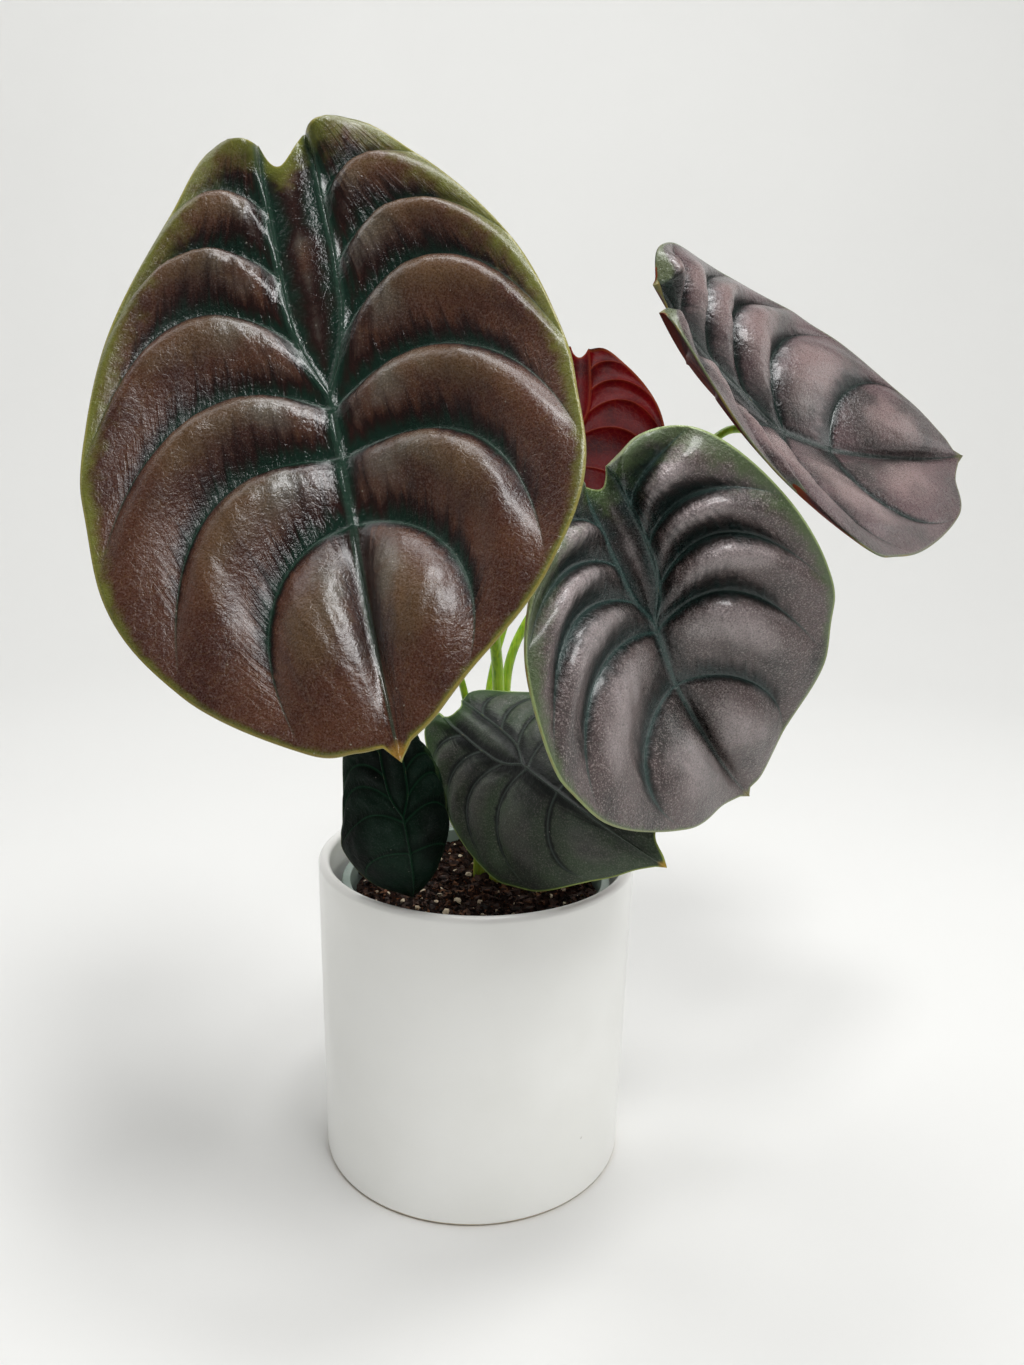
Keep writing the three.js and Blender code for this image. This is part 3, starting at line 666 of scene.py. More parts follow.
def face_relief(graph, pattern, look):
    """Wrinkles beside the grooves, sunk lines and a fine grain."""
    wrinkle = graph.math("MULTIPLY", pattern.across, graph.attribute("fringe"))
    skin = graph.bump(wrinkle, 0.0009)
    skin = graph.bump(pattern.lines, -0.00003, skin)
    skin = graph.bump(graph.noise(pattern.place, 520, 3, 0.6), look["grain"], skin)
    return graph.bump(pattern.grain, 0.3 * look["grain"], skin)


def face_finish(letter, settings, look):
    """The upper face: puffs with painted highlights, dark grooves with painted shade and fringed
    sides, veins and a green margin.
    """
    zones = ("puff", "groove", "border")
    puff, groove, border = (getattr(settings, f"{letter}_{zone}") for zone in zones)

    def dress(graph, place, shader):
        pattern = Patterns(graph, place)
        body = puff_colour_and_highlights(graph, pattern, puff, look)
        body = groove_and_shade_colour(graph, pattern, body, groove, look)
        body = margin_colour(graph, pattern, body, border, look)
        satin = graph.step(pattern.along, 0.12, 0.5, -0.1, look["satin"])
        gloss = graph.step(pattern.grain, 0.3, 0.7, look["rough"] - 0.06, look["rough"] + 0.1)
        gloss = graph.math("ADD", gloss, satin)
        wear(graph, shader, base_color=body, roughness=gloss, normal=face_relief(graph, pattern, look))
        wear(graph, shader, metallic=look["metal"], specular_ior_level=look["specular"])
        wear(graph, shader, coat_weight=look["coat"], coat_roughness=0.16)

    return finish(f"leaf_{letter}_face", dress)


def back_finish(letter, settings, look):
    """The underside: wine red with raised orange veins."""

    def dress(graph, place, shader):
        cloud = graph.noise(place, 45, 3, 0.55)
        body = graph.blend(graph.step(cloud, 0.35, 0.7), tint(look["under"]), tint(look["under_dark"]))
        net = graph.cells(place, 330)
        lines = graph.step(net, 0.0, 0.08, 0.16, 0.0)
        body = graph.blend(lines, body, settings.back_vein)
        vein = graph.math("MULTIPLY", graph.attribute("vein"), 0.42)
        body = graph.blend(vein, body, settings.back_vein)
        rim = graph.step(graph.attribute("edge"), 0.3, 1.3, 0.8, 0.0)
        body = graph.blend(rim, body, tint("#7d3b22"))
        skin = graph.bump(lines, 0.0001)
        skin = graph.bump(graph.noise(place, 420, 3, 0.6), 0.0002, skin)
        wear(graph, shader, base_color=body, roughness=graph.step(cloud, 0, 1, 0.28, 0.42))
        wear(graph, shader, normal=skin, specular_ior_level=0.04)

    return finish(f"leaf_{letter}_back", dress)


def rim_finish(letter, look):
    """The narrow edge between a leaf's face and its underside."""

    def dress(graph, place, shader):
        cloud = graph.noise(place, 150, 3)
        body = graph.blend(graph.step(cloud, 0.35, 0.7), tint(look["rim"]), tint("#8b7a3a"))
        wear(graph, shader, base_color=body, roughness=0.45)

    return finish(f"leaf_{letter}_rim", dress)


# What each leaf's finish reads. wide, deep, band and rib are millimetres on a leaf of the size of
# leaf a: the groove's dark side, which is painted shade, the painted shade along the midrib (left
# half, right half, panel), the margin and half the midrib. top, glaze, speck, net, margin, shade and
# vein_mix are shares of the colours that lie over the puffs, and ragged is how uneven the grooves'
# sides are. crown and top paint a highlight on the puffs' crowns, partly the leaf's own silvery
# tint; glaze paints a cool sheen near the midrib; the dark colour beside the grooves is painted
# shade, and shade sets it and the groove colour.
PLAIN_LOOK = {"under": "#440408", "under_dark": "#2c0205", "metal": 0.0}
LOOKS = {
    "a": {
        **PLAIN_LOOK,
        "mottle": "#3a1f18", "crown": "#6b573a", "painted_shade": "#210f0d", "line": "#7d6440",
        "vein": "#2b4236", "rim": "#8f8a45", "rim_low": "#8d7d38", "tip": "#8a6628",
        "wide": 8.0, "deep": (5.5, 8.0, 1.6), "band": 9.0, "rib": 1.0,
        "top": 0.4, "glaze": 0.5, "speck": 0.12, "net": 0.1, "margin": 0.9,
        "shade": 1.0, "ragged": 1.1, "vein_mix": 0.55,
        "rough": 0.25, "satin": 0.05, "grain": 0.00032, "coat": 0.16, "specular": 0.4,
    },
    "b": {
        **PLAIN_LOOK,
        "mottle": "#2c2422", "crown": "#aca0a0", "painted_shade": "#1a1311", "line": "#6d7a70",
        "vein": "#3f5853", "rim": "#93a468", "rim_low": "#8c9260", "tip": "#7c7440",
        "wide": 9.5, "deep": (5.5, 7.0, 4.0), "band": 14.0, "rib": 1.0,
        "top": 0.6, "glaze": 0.25, "speck": 0.55, "net": 0.08, "margin": 0.85,
        "shade": 0.95, "ragged": 0.9, "vein_mix": 0.5,
        "rough": 0.33, "satin": 0.06, "grain": 0.0007, "coat": 0.3, "specular": 0.6, "metal": 0.15,
    },
    "c": {
        **PLAIN_LOOK,
        "mottle": "#3a302f", "crown": "#a58c89", "painted_shade": "#1f1819", "line": "#4c4f4e",
        "vein": "#2c3c37", "rim": "#626c4c", "rim_low": "#6c6a48", "tip": "#5a5a38",
        "under": "#4c3236", "under_dark": "#3a262b",
        "wide": 8.5, "deep": (4.5, 4.5, 2.5), "band": 4.0, "rib": 0.9,
        "top": 0.52, "glaze": 0.3, "speck": 0.3, "net": 0.1, "margin": 0.35,
        "shade": 1.0, "ragged": 0.9, "vein_mix": 0.6,
        "rough": 0.25, "satin": 0.04, "grain": 0.0006, "coat": 0.3, "specular": 0.6,
    },
    "d": {
        **PLAIN_LOOK,
        "mottle": "#452722", "crown": "#5c4436", "painted_shade": "#1d0d0b", "line": "#8a6a4c",
        "vein": "#3f5a48", "rim": "#8a3a20", "rim_low": "#8a3a20", "tip": "#8a3a20",
        "under": "#560409", "under_dark": "#300205",
        "wide": 6.0, "deep": (5.0, 5.0, 4.0), "band": 5.0, "rib": 0.9,
        "top": 0.35, "glaze": 0.0, "speck": 0.08, "net": 0.08, "margin": 0.7,
        "shade": 1.0, "ragged": 0.75, "vein_mix": 0.7,
        "rough": 0.38, "satin": 0.05, "grain": 0.0003, "coat": 0.1, "specular": 0.3,
    },
    "e": {
        **PLAIN_LOOK,
        "mottle": "#2c2e2a", "crown": "#5c5856", "painted_shade": "#151a17", "line": "#5a6a58",
        "vein": "#65746a", "rim": "#8fa860", "rim_low": "#8f9a4c", "tip": "#a8862e",
        "wide": 2.4, "deep": (8.0, 8.0, 6.0), "band": 13.0, "rib": 0.6,
        "top": 0.35, "glaze": 0.15, "speck": 0.16, "net": 0.06, "margin": 0.8,
        "shade": 1.0, "ragged": 0.9, "vein_mix": 0.28,
        "rough": 0.5, "satin": 0.05, "grain": 0.0004, "coat": 0.05, "specular": 0.25,
    },
    "f": {
        **PLAIN_LOOK,
        "mottle": "#060d09", "crown": "#10201a", "painted_shade": "#060f0b", "line": "#3c5240",
        "vein": "#1f4a30", "rim": "#30452a", "rim_low": "#4a4f2c", "tip": "#4a4a2a",
        "wide": 5.0, "deep": (4.5, 4.5, 2.0), "band": 4.0, "rib": 0.7,
        "top": 0.35, "glaze": 0.0, "speck": 0.03, "net": 0.04, "margin": 0.75,
        "shade": 0.6, "ragged": 0.75, "vein_mix": 0.35,
        "rough": 0.5, "satin": 0.05, "grain": 0.0003, "coat": 0.0, "specular": 0.05,
    },
}


def slopes(q, points, broken):
    """Slopes of a smooth curve through rows of different spacing; the row broken keeps a corner."""
    step = (points[1:] - points[:-1]) / (q[1:] - q[:-1])[:, None]
    into = np.empty_like(points)
    out = np.empty_like(points)
    last = len(q) - 1
    for i in range(last + 1):
        if i in (0, last, broken):
            into[i] = step[max(i - 1, 0)]
            out[i] = step[min(i, last - 1)]
            continue
        wide = q[i + 1] - q[i]
        near = q[i] - q[i - 1]
        into[i] = out[i] = (step[i - 1] * wide + step[i] * near) / (wide + near)
    return into, out


class Rays:
    """The rays of one half blade as a function of q, with the margin moved as the leaf says."""

    def __init__(self, leaf, half):
        table, edge = leaf["table"], leaf["edge"][half]
        rows = table["rows"]
        self.q = np.array([row[0] for row in rows])
        self.points = np.array([row[1:] for row in rows], dtype=float).transpose(1, 0, 2)
        push = np.zeros(len(rows))
        push[table["tuned"]] = edge
        joint = table["joint"]
        push[joint] = (push[joint - 1] + push[joint + 1]) / 2
        away = self.points[3] + (0, 0.15)
        self.points[3] += away * (push / np.hypot(*away.T))[:, None]
        reach = np.array([0, 0.33, 0.67, 1])[:, None, None]
        share = np.array([0.45, 0.9, 1])[None, :, None]
        self.points[:, -3:] += reach * share * np.array(leaf["lobe"][half])
        pairs = [slopes(self.q, self.points[k], joint if k == 0 else 1) for k in range(4)]
        self.into = np.array([pair[0] for pair in pairs])
        self.out = np.array([pair[1] for pair in pairs])

    def at(self, values):
        """Control points, one row of four for each value."""
        i = np.clip(np.searchsorted(self.q, values, side="right") - 1, 0, len(self.q) - 2)
        span = self.q[i + 1] - self.q[i]
        s = (values - self.q[i]) / span
        weights = (
            2 * s**3 - 3 * s**2 + 1,
            (s**3 - 2 * s**2 + s) * span,
            3 * s**2 - 2 * s**3,
            (s**3 - s**2) * span,
        )
        parts = (self.points[:, i], self.out[:, i], self.points[:, i + 1], self.into[:, i + 1])
        total = sum(w[None, :, None] * part for w, part in zip(weights, parts))
        return total.transpose(1, 0, 2)

    def grid(self, values, ts):
        """Flat points, one row for each value and one column for each t."""
        u = 1 - ts
        weights = np.array([u**3, 3 * u * u * ts, 3 * u * ts * ts, ts**3])
        return np.einsum("rkn,kt->rtn", self.at(values), weights)


def vein_below(q):
    """The vein on the tip side of q; the first puff reaches from the tip to vein 2."""
    return np.where(q < FIRST_VEIN, 0, np.floor(q))


def swell(q, t, bulge):
    """How far the blade swells above its veins, from 0 to 1."""
    lean, crispness = bulge
    part = np.where(q < FIRST_VEIN, q / FIRST_VEIN, q - np.floor(q))
    across = np.abs(np.sin(np.pi * part**lean)) ** crispness
    along = np.maximum(np.sin(np.pi * t**0.85), 0) ** 1.05
    ease = np.minimum(1, 0.25 + 0.5 * q)
    return across * along * ease


def smooth(value, low, high):
    """0 at low, 1 at high, and a soft step between them."""
    s = np.clip((value - low) / (high - low), 0, 1)
    return s * s * (3 - 2 * s)


def face_way(leaf):
    """The direction in which the upper face looks."""
    azimuth, elevation, _ = leaf["turn"]
    return np.array(
        [
            math.sin(azimuth) * math.cos(elevation),
            -math.cos(azimuth) * math.cos(elevation),
            math.sin(elevation),
        ]
    )


def put(leaf, x, flat_y, h, side):
    """A point of the flat half blade, lifted by h, bent and put in its place on the plant."""
    half = 1 if side > 0 else 0
    y = np.where(flat_y > 0, flat_y * leaf["back"], flat_y)
    curl = leaf["curl"][half] or 1e-6
    fold = leaf["fold"][half]
    lean = fold + curl * x * leaf["width"][half]
    tilt = lean * smooth(x * leaf["size"], 0, 4)
    across = side * ((np.sin(lean) - np.sin(fold)) / curl - h * np.sin(tilt))
    up = -(np.cos(lean) - np.cos(fold)) / curl + h * np.cos(tilt)
    roll = leaf["twist"] * y
    sway = np.where(y < 0, leaf["sway"] * y * y, 0)
    u = across * np.cos(roll) - up * np.sin(roll) + sway
    v = across * np.sin(roll) + up * np.cos(roll)
    arch = np.where(y < 0, leaf["arch"][0], leaf["arch"][1])
    angle = arch * np.abs(y)
    along = np.where(y < 0, -1, 1) * (np.sin(angle) / arch + v * np.sin(angle))
    out = -(1 - np.cos(angle)) / arch + v * np.cos(angle)
    azimuth, _, spin = leaf["turn"]
    face = face_way(leaf)
    level = np.array([math.cos(azimuth), math.sin(azimuth), 0])
    rise = np.cross(face, level)
    right = level * math.cos(spin) + rise * math.sin(spin)
    head = rise * math.cos(spin) - level * math.sin(spin)
    spot = u[..., None] * right + along[..., None] * head + out[..., None] * face
    return np.array(leaf["at"]) + spot * leaf["size"]


def row_values(table, steps):
    """Values of q from the tip to the end of the lobe, closest beside the veins."""
    end = table["rows"][-1][0]
    joint = table["rows"][table["joint"]][0]
    tip = 0.5 - 0.5 * np.cos(np.pi * np.arange(2 * steps) / (2 * steps))
    values = list(FIRST_VEIN * tip)
    for vein in range(FIRST_VEIN, int(end)):
        part = 0.5 - 0.5 * np.cos(np.pi * np.arange(steps) / steps)
        if vein == int(joint):
            part = np.unique(np.append(part, joint - vein))
        values.extend(vein + part)
    return np.array(values + [end])


def to_line(points, line):
    """Distance of each point from a chain of points."""
    start, stop = line[:-1], line[1:]
    way = stop - start
    size = np.maximum((way**2).sum(1), 1e-12)
    offset = points[:, None, :] - start[None]
    share = np.clip((offset * way[None]).sum(2) / size, 0, 1)
    return np.sqrt(((offset - share[..., None] * way[None]) ** 2).sum(2)).min(1)


def full_size(leaf, flat, half):
    """Flat points in millimetres."""
    x = flat[..., 0] * leaf["width"][half]
    y = np.where(flat[..., 1] > 0, flat[..., 1] * leaf["back"], flat[..., 1])
    return np.stack([x, y], axis=-1) * leaf["size"]


def half_blade(leaf, side, values, seed):
    """Flat points of one half of a blade and their distances from its lines."""
    half = 1 if side > 0 else 0
    rays = Rays(leaf, half)
    end = leaf["table"]["rows"][-1][0]
    columns = leaf["fine"][1]
    ts = (np.arange(columns + 1) / columns) ** 1.5
    ts = 0.75 * ts + 0.25 * (1 - (1 - ts) ** 1.6)
    flat = rays.grid(values, ts)
    q, t = np.meshgrid(values, ts, indexing="ij")
    chance = np.random.default_rng(seed)
    strength = chance.uniform(0.9, 1.2, int(end) + 1)[vein_below(q).astype(int)]
    rise = swell(q, t, leaf["bulge"])
    true = full_size(leaf, flat, half)
    reach = np.linalg.norm(np.diff(true, axis=1), axis=2).sum(1)[:, None] + 0 * t
    under = vein_below(values)
    over = np.where(values < FIRST_VEIN, FIRST_VEIN, np.minimum(under + 1, end))
    below = full_size(leaf, rays.grid(under, ts), half)
    above = full_size(leaf, rays.grid(over, ts), half)
    low = np.where(q < FIRST_VEIN, FAR, np.linalg.norm(true - below, axis=2))
    high = np.linalg.norm(true - above, axis=2)
    loose = true.reshape(-1, 2)
    costa = to_line(loose, true[:, 0]).reshape(q.shape)
    edge = to_line(loose, np.vstack([true[:, -1], true[-1, ::-1]])).reshape(q.shape)
    lines = full_size(leaf, rays.grid(np.arange(FIRST_VEIN, end), np.linspace(0, 0.97, 40)), half)
    vein = np.min([to_line(loose, line) for line in lines], axis=0).reshape(q.shape)
    return {
        "x": flat[..., 0],
        "y": flat[..., 1],
        "side": side + 0 * q,
        "place": half,
        "height": leaf["relief"][half] * rise * strength,
        "q": q,
        "t": t,
        "rise": rise,
        "low": low,
        "high": high,
        "costa": costa,
        "edge": edge,
        "line": vein,
        "long": reach,
    }


def panel(leaf, values):
    """The strip between the two veins that run from the joint up into the lobes."""
    end = leaf["table"]["rows"][-1][0]
    joint = leaf["table"]["rows"][leaf["table"]["joint"]][0]
    values = values[values >= joint - 1e-9]
    start = Rays(leaf, 0).at(values)[:, 0]
    b = np.sin(np.linspace(-1, 1, 23) * np.pi / 2)
    c = (values - joint) / (end - joint)
    inside = 1 - b[None] ** 2
    x = np.abs(b)[None] * start[:, 0:1]
    depth, skew = leaf["sinus"]
    notch = depth * inside * (1 - skew * b[None])
    y = start[:, 1:2] - notch * c[:, None] ** 3
    h = PILLOW * inside * np.sin(np.minimum(c * 2.4, 1.9))[:, None]
    q = values[:, None] + 0 * x
    costa = (start[:, 0:1] - x) * leaf["size"]
    edge = np.abs(start[-1, 1] - notch - y) * leaf["size"] * leaf["back"]
    return {
        "x": x,
        "y": y,
        "side": np.where(b[None] < 0, -1, 1) + 0 * x,
        "place": PANEL,
        "height": h + 0 * x,
        "q": q,
        "t": 0.02 * inside + 0 * x,
        "rise": inside * 0.7 + 0 * x,
        "low": costa + 1.0,
        "high": costa + 1.0,
        "costa": costa,
        "edge": edge,
        "line": costa + 3,
        "long": 0 * x + 20,
    }


def groove_and_shade_mark(part, look, small):
    """Painted shade on the tip side of each vein, over the leaf's dark green at the vein, and along
    the midrib.
    """
    wide = look["wide"] * small
    groove = np.maximum(
        np.exp(-((part["low"] / (wide * (1.35 - 0.7 * part["t"]))) ** 1.5)),
        np.exp(-((part["high"] / (2.8 * small)) ** 1.5)),
    )
    # Painted shade along the midrib, weaker towards the tip.
    painted_midrib_shade = np.exp(-((part["costa"] / (look["deep"][part["place"]] * small)) ** 1.4))
    painted_midrib_shade = painted_midrib_shade * (0.35 + 0.65 * smooth(part["q"], 0.5, 3))
    return np.maximum(groove * smooth(part["t"], 0.97, 0.6), painted_midrib_shade)


def fringe_mark(part, look, small):
    """Where the wrinkles are: at the dark sides' outer ends, away from midrib and margin."""
    wide = look["wide"] * small
    fringe = np.exp(-(((part["low"] - 0.8 * wide) / (0.75 * wide)) ** 2))
    fringe = fringe * smooth(part["t"], 0.05, 0.25)
    return fringe * smooth(part["t"], 1.0, 0.8) * smooth(part["costa"], 2, 9)


def vein_mark(part, small, taper, rib):
    """The side veins, thinner towards the margin, and the midrib."""
    half_width = (0.2 + 0.26 * taper) * (0.6 + 0.4 * small)
    vein = smooth(part["line"], 1.5 * half_width, 0.5 * half_width) * smooth(part["t"], 0.99, 0.85)
    return np.maximum(vein, smooth(part["costa"], 1.25 * rib, 0.6 * rib))


def unevenness(part, span, rate, layer, fall):
    """Noise at each point: span millimetres long on a ray, and rate times as many as the puffs."""
    ways = (part["t"] * part["long"]).ravel() / span
    places = zip(ways, part["q"].ravel())
    values = [noise.fractal(Vector((way, q * rate, layer)), fall, 2.1, 3) for way, q in places]
    return np.reshape(values, part["q"].shape)


def blade_values(leaf, look, part, settings):
    """Turns distances into what the finish and the fine relief read at each point."""
    small = leaf["size"] / WHOLE_SIZE
    taper = smooth(part["t"], 0.98, 0.55)
    tip = smooth(part["q"], 0.0, 1.4)
    rib = (0.45 + 1.05 * tip) * small * look["rib"]
    band = look["band"] * small * (0.18 + 0.82 * smooth(part["q"], 2.5, 6))
    marks = {
        "rise": part["rise"],
        # groove: the leaf's dark green at the veins and the painted shade beside them and along the
        # midrib.
        "groove": groove_and_shade_mark(part, look, small),
        "fringe": fringe_mark(part, look, small),
        "vein": vein_mark(part, small, taper, rib),
        "border": np.exp(-((part["edge"] / band) ** 1.1)),
        "edge": part["edge"],
    }
    ridge = (0.3 + 0.7 * tip) * np.exp(-((part["costa"] / (1.05 * rib)) ** 2))
    thread = taper * np.exp(-((part["line"] / 0.55) ** 2))
    lift = settings.midrib / MM * ridge + settings.vein / MM * thread
    ripple = unevenness(part, 2.6, 1.1, 3.1, 0.8)
    lift = lift + settings.pucker / MM * 1.6 * ripple * marks["fringe"]
    lump = unevenness(part, 9, 1.9, 7.7, 0.9)
    lumpy = PANEL_LUMPS if part["place"] == PANEL else PUFF_LUMPS
    lift = lift + settings.lump / MM * lumpy * lump * part["rise"]
    top = part["height"] + lift / leaf["size"]
    drop = settings.thickness / MM + 1.1 * small * ridge + 0.45 * small * thread
    bottom = part["height"] - drop / leaf["size"]
    spots = [
        np.where(
            part["side"][..., None] < 0,
            put(leaf, part["x"], part["y"], h, -1),
            put(leaf, part["x"], part["y"], h, 1),
        )
        for h in (top, bottom)
    ]
    return spots[0], spots[1] - spots[0], marks


LAYERS = ("rise", "groove", "fringe", "vein", "border", "edge")


def blade_mesh(letter, look, settings, materials):
    """One blade: a fine quilted face, its underside and the rim between them."""
    leaf = LEAVES[letter]
    values = row_values(leaf["table"], leaf["fine"][0])
    seed = ord(letter)
    parts = [
        (half_blade(leaf, -1, values, seed), False),
        (half_blade(leaf, 1, values, seed + HALF_SEEDS), True),
        (panel(leaf, values), True),
    ]
    spots, quads, rays, under = [], [], [], []
    layers = {name: [] for name in LAYERS}
    for part, forward in parts:
        rows, columns = part["q"].shape
        index = np.arange(rows * columns).reshape(rows, columns) + len(spots)
        a, b, c, d = index[:-1, :-1], index[:-1, 1:], index[1:, 1:], index[1:, :-1]
        order = (a, b, c, d) if forward else (a, d, c, b)
        quads.extend(np.stack([corner.ravel() for corner in order], axis=1).tolist())
        face, below, marks = blade_values(leaf, look, part, settings)
        spots.extend((face.reshape(-1, 3) * MM).tolist())
        under.extend((below.reshape(-1, 3) * MM).tolist())
        rays.extend(np.stack([part["q"].ravel(), part["t"].ravel()], axis=1).tolist())
        for name, value in marks.items():
            layers[name].extend(np.broadcast_to(value, part["q"].shape).ravel().tolist())
    mesh = bpy.data.meshes.new(f"leaf_{letter}")
    mesh.from_pydata(spots, [], quads)
    for name, numbers in layers.items():
        mesh.attributes.new(name, "FLOAT", "POINT").data.foreach_set("value", numbers)
    drop = mesh.attributes.new("drop", "FLOAT_VECTOR", "POINT")
    drop.data.foreach_set("vector", np.array(under).ravel())
    corners = np.empty(len(mesh.loops), dtype=int)
    mesh.loops.foreach_get("vertex_index", corners)
    mesh.uv_layers.new(name="rays").data.foreach_set("uv", np.array(rays)[corners].ravel())
    work = bmesh.new()
    work.from_mesh(mesh)
    bmesh.ops.remove_doubles(work, verts=work.verts, dist=MERGE * MM)
    close_sheet(work)
    work.to_mesh(mesh)
    work.free()
    mesh.attributes.remove(mesh.attributes["drop"])
    piece = bpy.data.objects.new(f"leaf_{letter}", mesh)
    bpy.context.collection.objects.link(piece)
    for material in materials:
        mesh.materials.append(material)
    return piece


def close_sheet(work):
    """Adds the underside, at the distance that "drop" gives, and the rim."""
    drop = work.verts.layers.float_vector["drop"]
    faces = list(work.faces)
    edges = [edge for edge in work.edges if edge.is_boundary]
    ends = [(edge.link_loops[0], edge.link_loops[0].link_loop_next) for edge in edges]
    border = [[loop.vert for loop in pair] for pair in ends]
    copy = bmesh.ops.duplicate(work, geom=list(work.verts) + list(work.edges) + faces)
    twin = copy["vert_map"]
    below = [item for item in copy["geom"] if isinstance(item, bmesh.types.BMFace)]
    for vert in [item for item in copy["geom"] if isinstance(item, bmesh.types.BMVert)]:
        vert.co += vert[drop]
    bmesh.ops.reverse_faces(work, faces=below)
    for face in below:
        face.material_index = 1
    rays = work.loops.layers.uv["rays"]
    for (first, second), edge in zip(border, edges):
        source = edge.link_loops[0]
        marks = {first: source[rays].uv.copy(), second: source.link_loop_next[rays].uv.copy()}
        rim = work.faces.new((second, first, twin[first], twin[second]))
        rim.material_index = 2
        for loop, vert in zip(rim.loops, (second, first, first, second)):
            loop[rays].uv = marks[vert]
    for face in work.faces:
        face.smooth = True


def settle(piece):
    """Makes the modifiers' result the piece's own plain mesh."""
    graph = bpy.context.evaluated_depsgraph_get()
    plain = bpy.data.meshes.new_from_object(piece.evaluated_get(graph))
    plain.name = piece.name
    piece.modifiers.clear()
    old = piece.data
    piece.data = plain
    if isinstance(old, bpy.types.Mesh):
        bpy.data.meshes.remove(old)
    return piece


def new_piece(name, spots, faces, material):
    """A smoothly shaded piece of one material."""
    mesh = bpy.data.meshes.new(name)
    mesh.from_pydata(spots, [], faces)
    mesh.materials.append(material)
    mesh.polygons.foreach_set("use_smooth", [True] * len(mesh.polygons))
    piece = bpy.data.objects.new(name, mesh)
    bpy.context.collection.objects.link(piece)
    return piece


def ring(radius, height, sides):
    """Points of a level circle round the axis."""
    angles = [2 * math.pi * i / sides for i in range(sides)]
    return [(radius * math.cos(angle), radius * math.sin(angle), height) for angle in angles]


def disc_faces(rings, sides):
    """Faces that join a middle point and the rings round it, seen from above."""
    faces = [(0, 1 + i, 1 + (i + 1) % sides) for i in range(sides)]
    for k in range(rings - 1):
        for i in range(sides):
            a = 1 + k * sides + i
            b = 1 + k * sides + (i + 1) % sides
            faces.append((a, a + sides, b + sides, b))
    return faces


def lathe(name, profile, segments, material):
    """Turns a profile that starts and ends on the axis into a closed piece."""
    spots = [(0, 0, profile[0][1])]
    for radius, height in profile[1:-1]:
        spots.extend(ring(radius, height, segments))
    spots.append((0, 0, profile[-1][1]))
    faces = []
    rings = len(profile) - 2
    for i in range(segments):
        after = (i + 1) % segments
        faces.append((0, 1 + after, 1 + i))
        for k in range(rings - 1):
            a, b = 1 + k * segments + i, 1 + k * segments + after
            faces.append((a, b, b + segments, a + segments))
        last = 1 + (rings - 1) * segments
        faces.append((last + i, last + after, len(spots) - 1))
    return new_piece(name, spots, faces, material)


def rounded(x, z, radius, start, stop, steps):
    """An arc of a profile, between two angles in degrees."""
    angles = np.radians(np.linspace(start, stop, steps + 1))
    return [(x + radius * math.cos(a), z + radius * math.sin(a)) for a in angles]


def levels(start, stop, steps):
    """Points of a straight line without its ends."""
    return [tuple(np.array(start) + (np.array(stop) - start) * k / steps) for k in range(1, steps)]


def soil_height(x, y):
    """The mix's surface: bumps, a mound round the petioles' feet, and clumps."""
    bumps = math.sin(x * 0.21 + 1.3) * math.cos(y * 0.18) + 0.6 * math.sin(x * 0.37 - y * 0.31 + 0.7)
    mound = 1.5 * max(0, 1 - math.hypot(x - CROWN[0], y - CROWN[1]) / 30)
    clumps = noise.fractal(Vector((x * 0.16, y * 0.16, 2)), 0.9, 2.1, 4)
    return SOIL_TOP + 1.1 * bumps + mound + 0.9 * clumps


def curve_points(points, steps):
    """A smooth curve through points, sampled evenly along its length."""
    p = np.array(points, dtype=float)
    p = np.vstack([2 * p[0] - p[1], p, 2 * p[-1] - p[-2]])
    knots = np.concatenate([[0], np.cumsum(np.sqrt(np.linalg.norm(np.diff(p, axis=0), axis=1)))])
    fine = []
    for i in range(1, len(p) - 2):
        t0, t1, t2, t3 = knots[i - 1 : i + 3]
        for t in np.linspace(t1, t2, 24, endpoint=i == len(p) - 3):
            a1 = (t1 - t) / (t1 - t0) * p[i - 1] + (t - t0) / (t1 - t0) * p[i]
            a2 = (t2 - t) / (t2 - t1) * p[i] + (t - t1) / (t2 - t1) * p[i + 1]
            a3 = (t3 - t) / (t3 - t2) * p[i + 1] + (t - t2) / (t3 - t2) * p[i + 2]
            b1 = (t2 - t) / (t2 - t0) * a1 + (t - t0) / (t2 - t0) * a2
            b2 = (t3 - t) / (t3 - t1) * a2 + (t - t1) / (t3 - t1) * a3
            fine.append((t2 - t) / (t2 - t1) * b1 + (t - t1) / (t2 - t1) * b2)
    fine = np.array(fine)
    way = np.concatenate([[0], np.cumsum(np.linalg.norm(np.diff(fine, axis=0), axis=1))])
    even = np.linspace(0, way[-1], steps)
    return np.stack([np.interp(even, way, fine[:, k]) for k in range(3)], axis=1)


def node_group(name, sockets):
    """A geometry tree with a geometry input and output and named inputs."""
    tree = bpy.data.node_groups.new(name, "GeometryNodeTree")
    tree.interface.new_socket("Geometry", in_out="OUTPUT", socket_type="NodeSocketGeometry")
    tree.interface.new_socket("Geometry", in_out="INPUT", socket_type="NodeSocketGeometry")
    for label, kind, default in sockets:
        socket = tree.interface.new_socket(label, in_out="INPUT", socket_type=kind)
        if default is not None:
            socket.default_value = default
    graph = Graph(tree)
    return graph, graph.node("NodeGroupInput"), graph.node("NodeGroupOutput")


def grow(piece, graph, values):
    """Runs a geometry tree on a piece with its inputs set by socket identifier."""
    modifier = piece.modifiers.new("growth", "NODES")
    modifier.node_group = graph.tree
    for item in graph.tree.interface.items_tree:
        if item.item_type == "SOCKET" and item.in_out == "INPUT" and item.name in values:
            modifier[item.identifier] = values[item.name]
    graph.tree.interface_update(bpy.context)


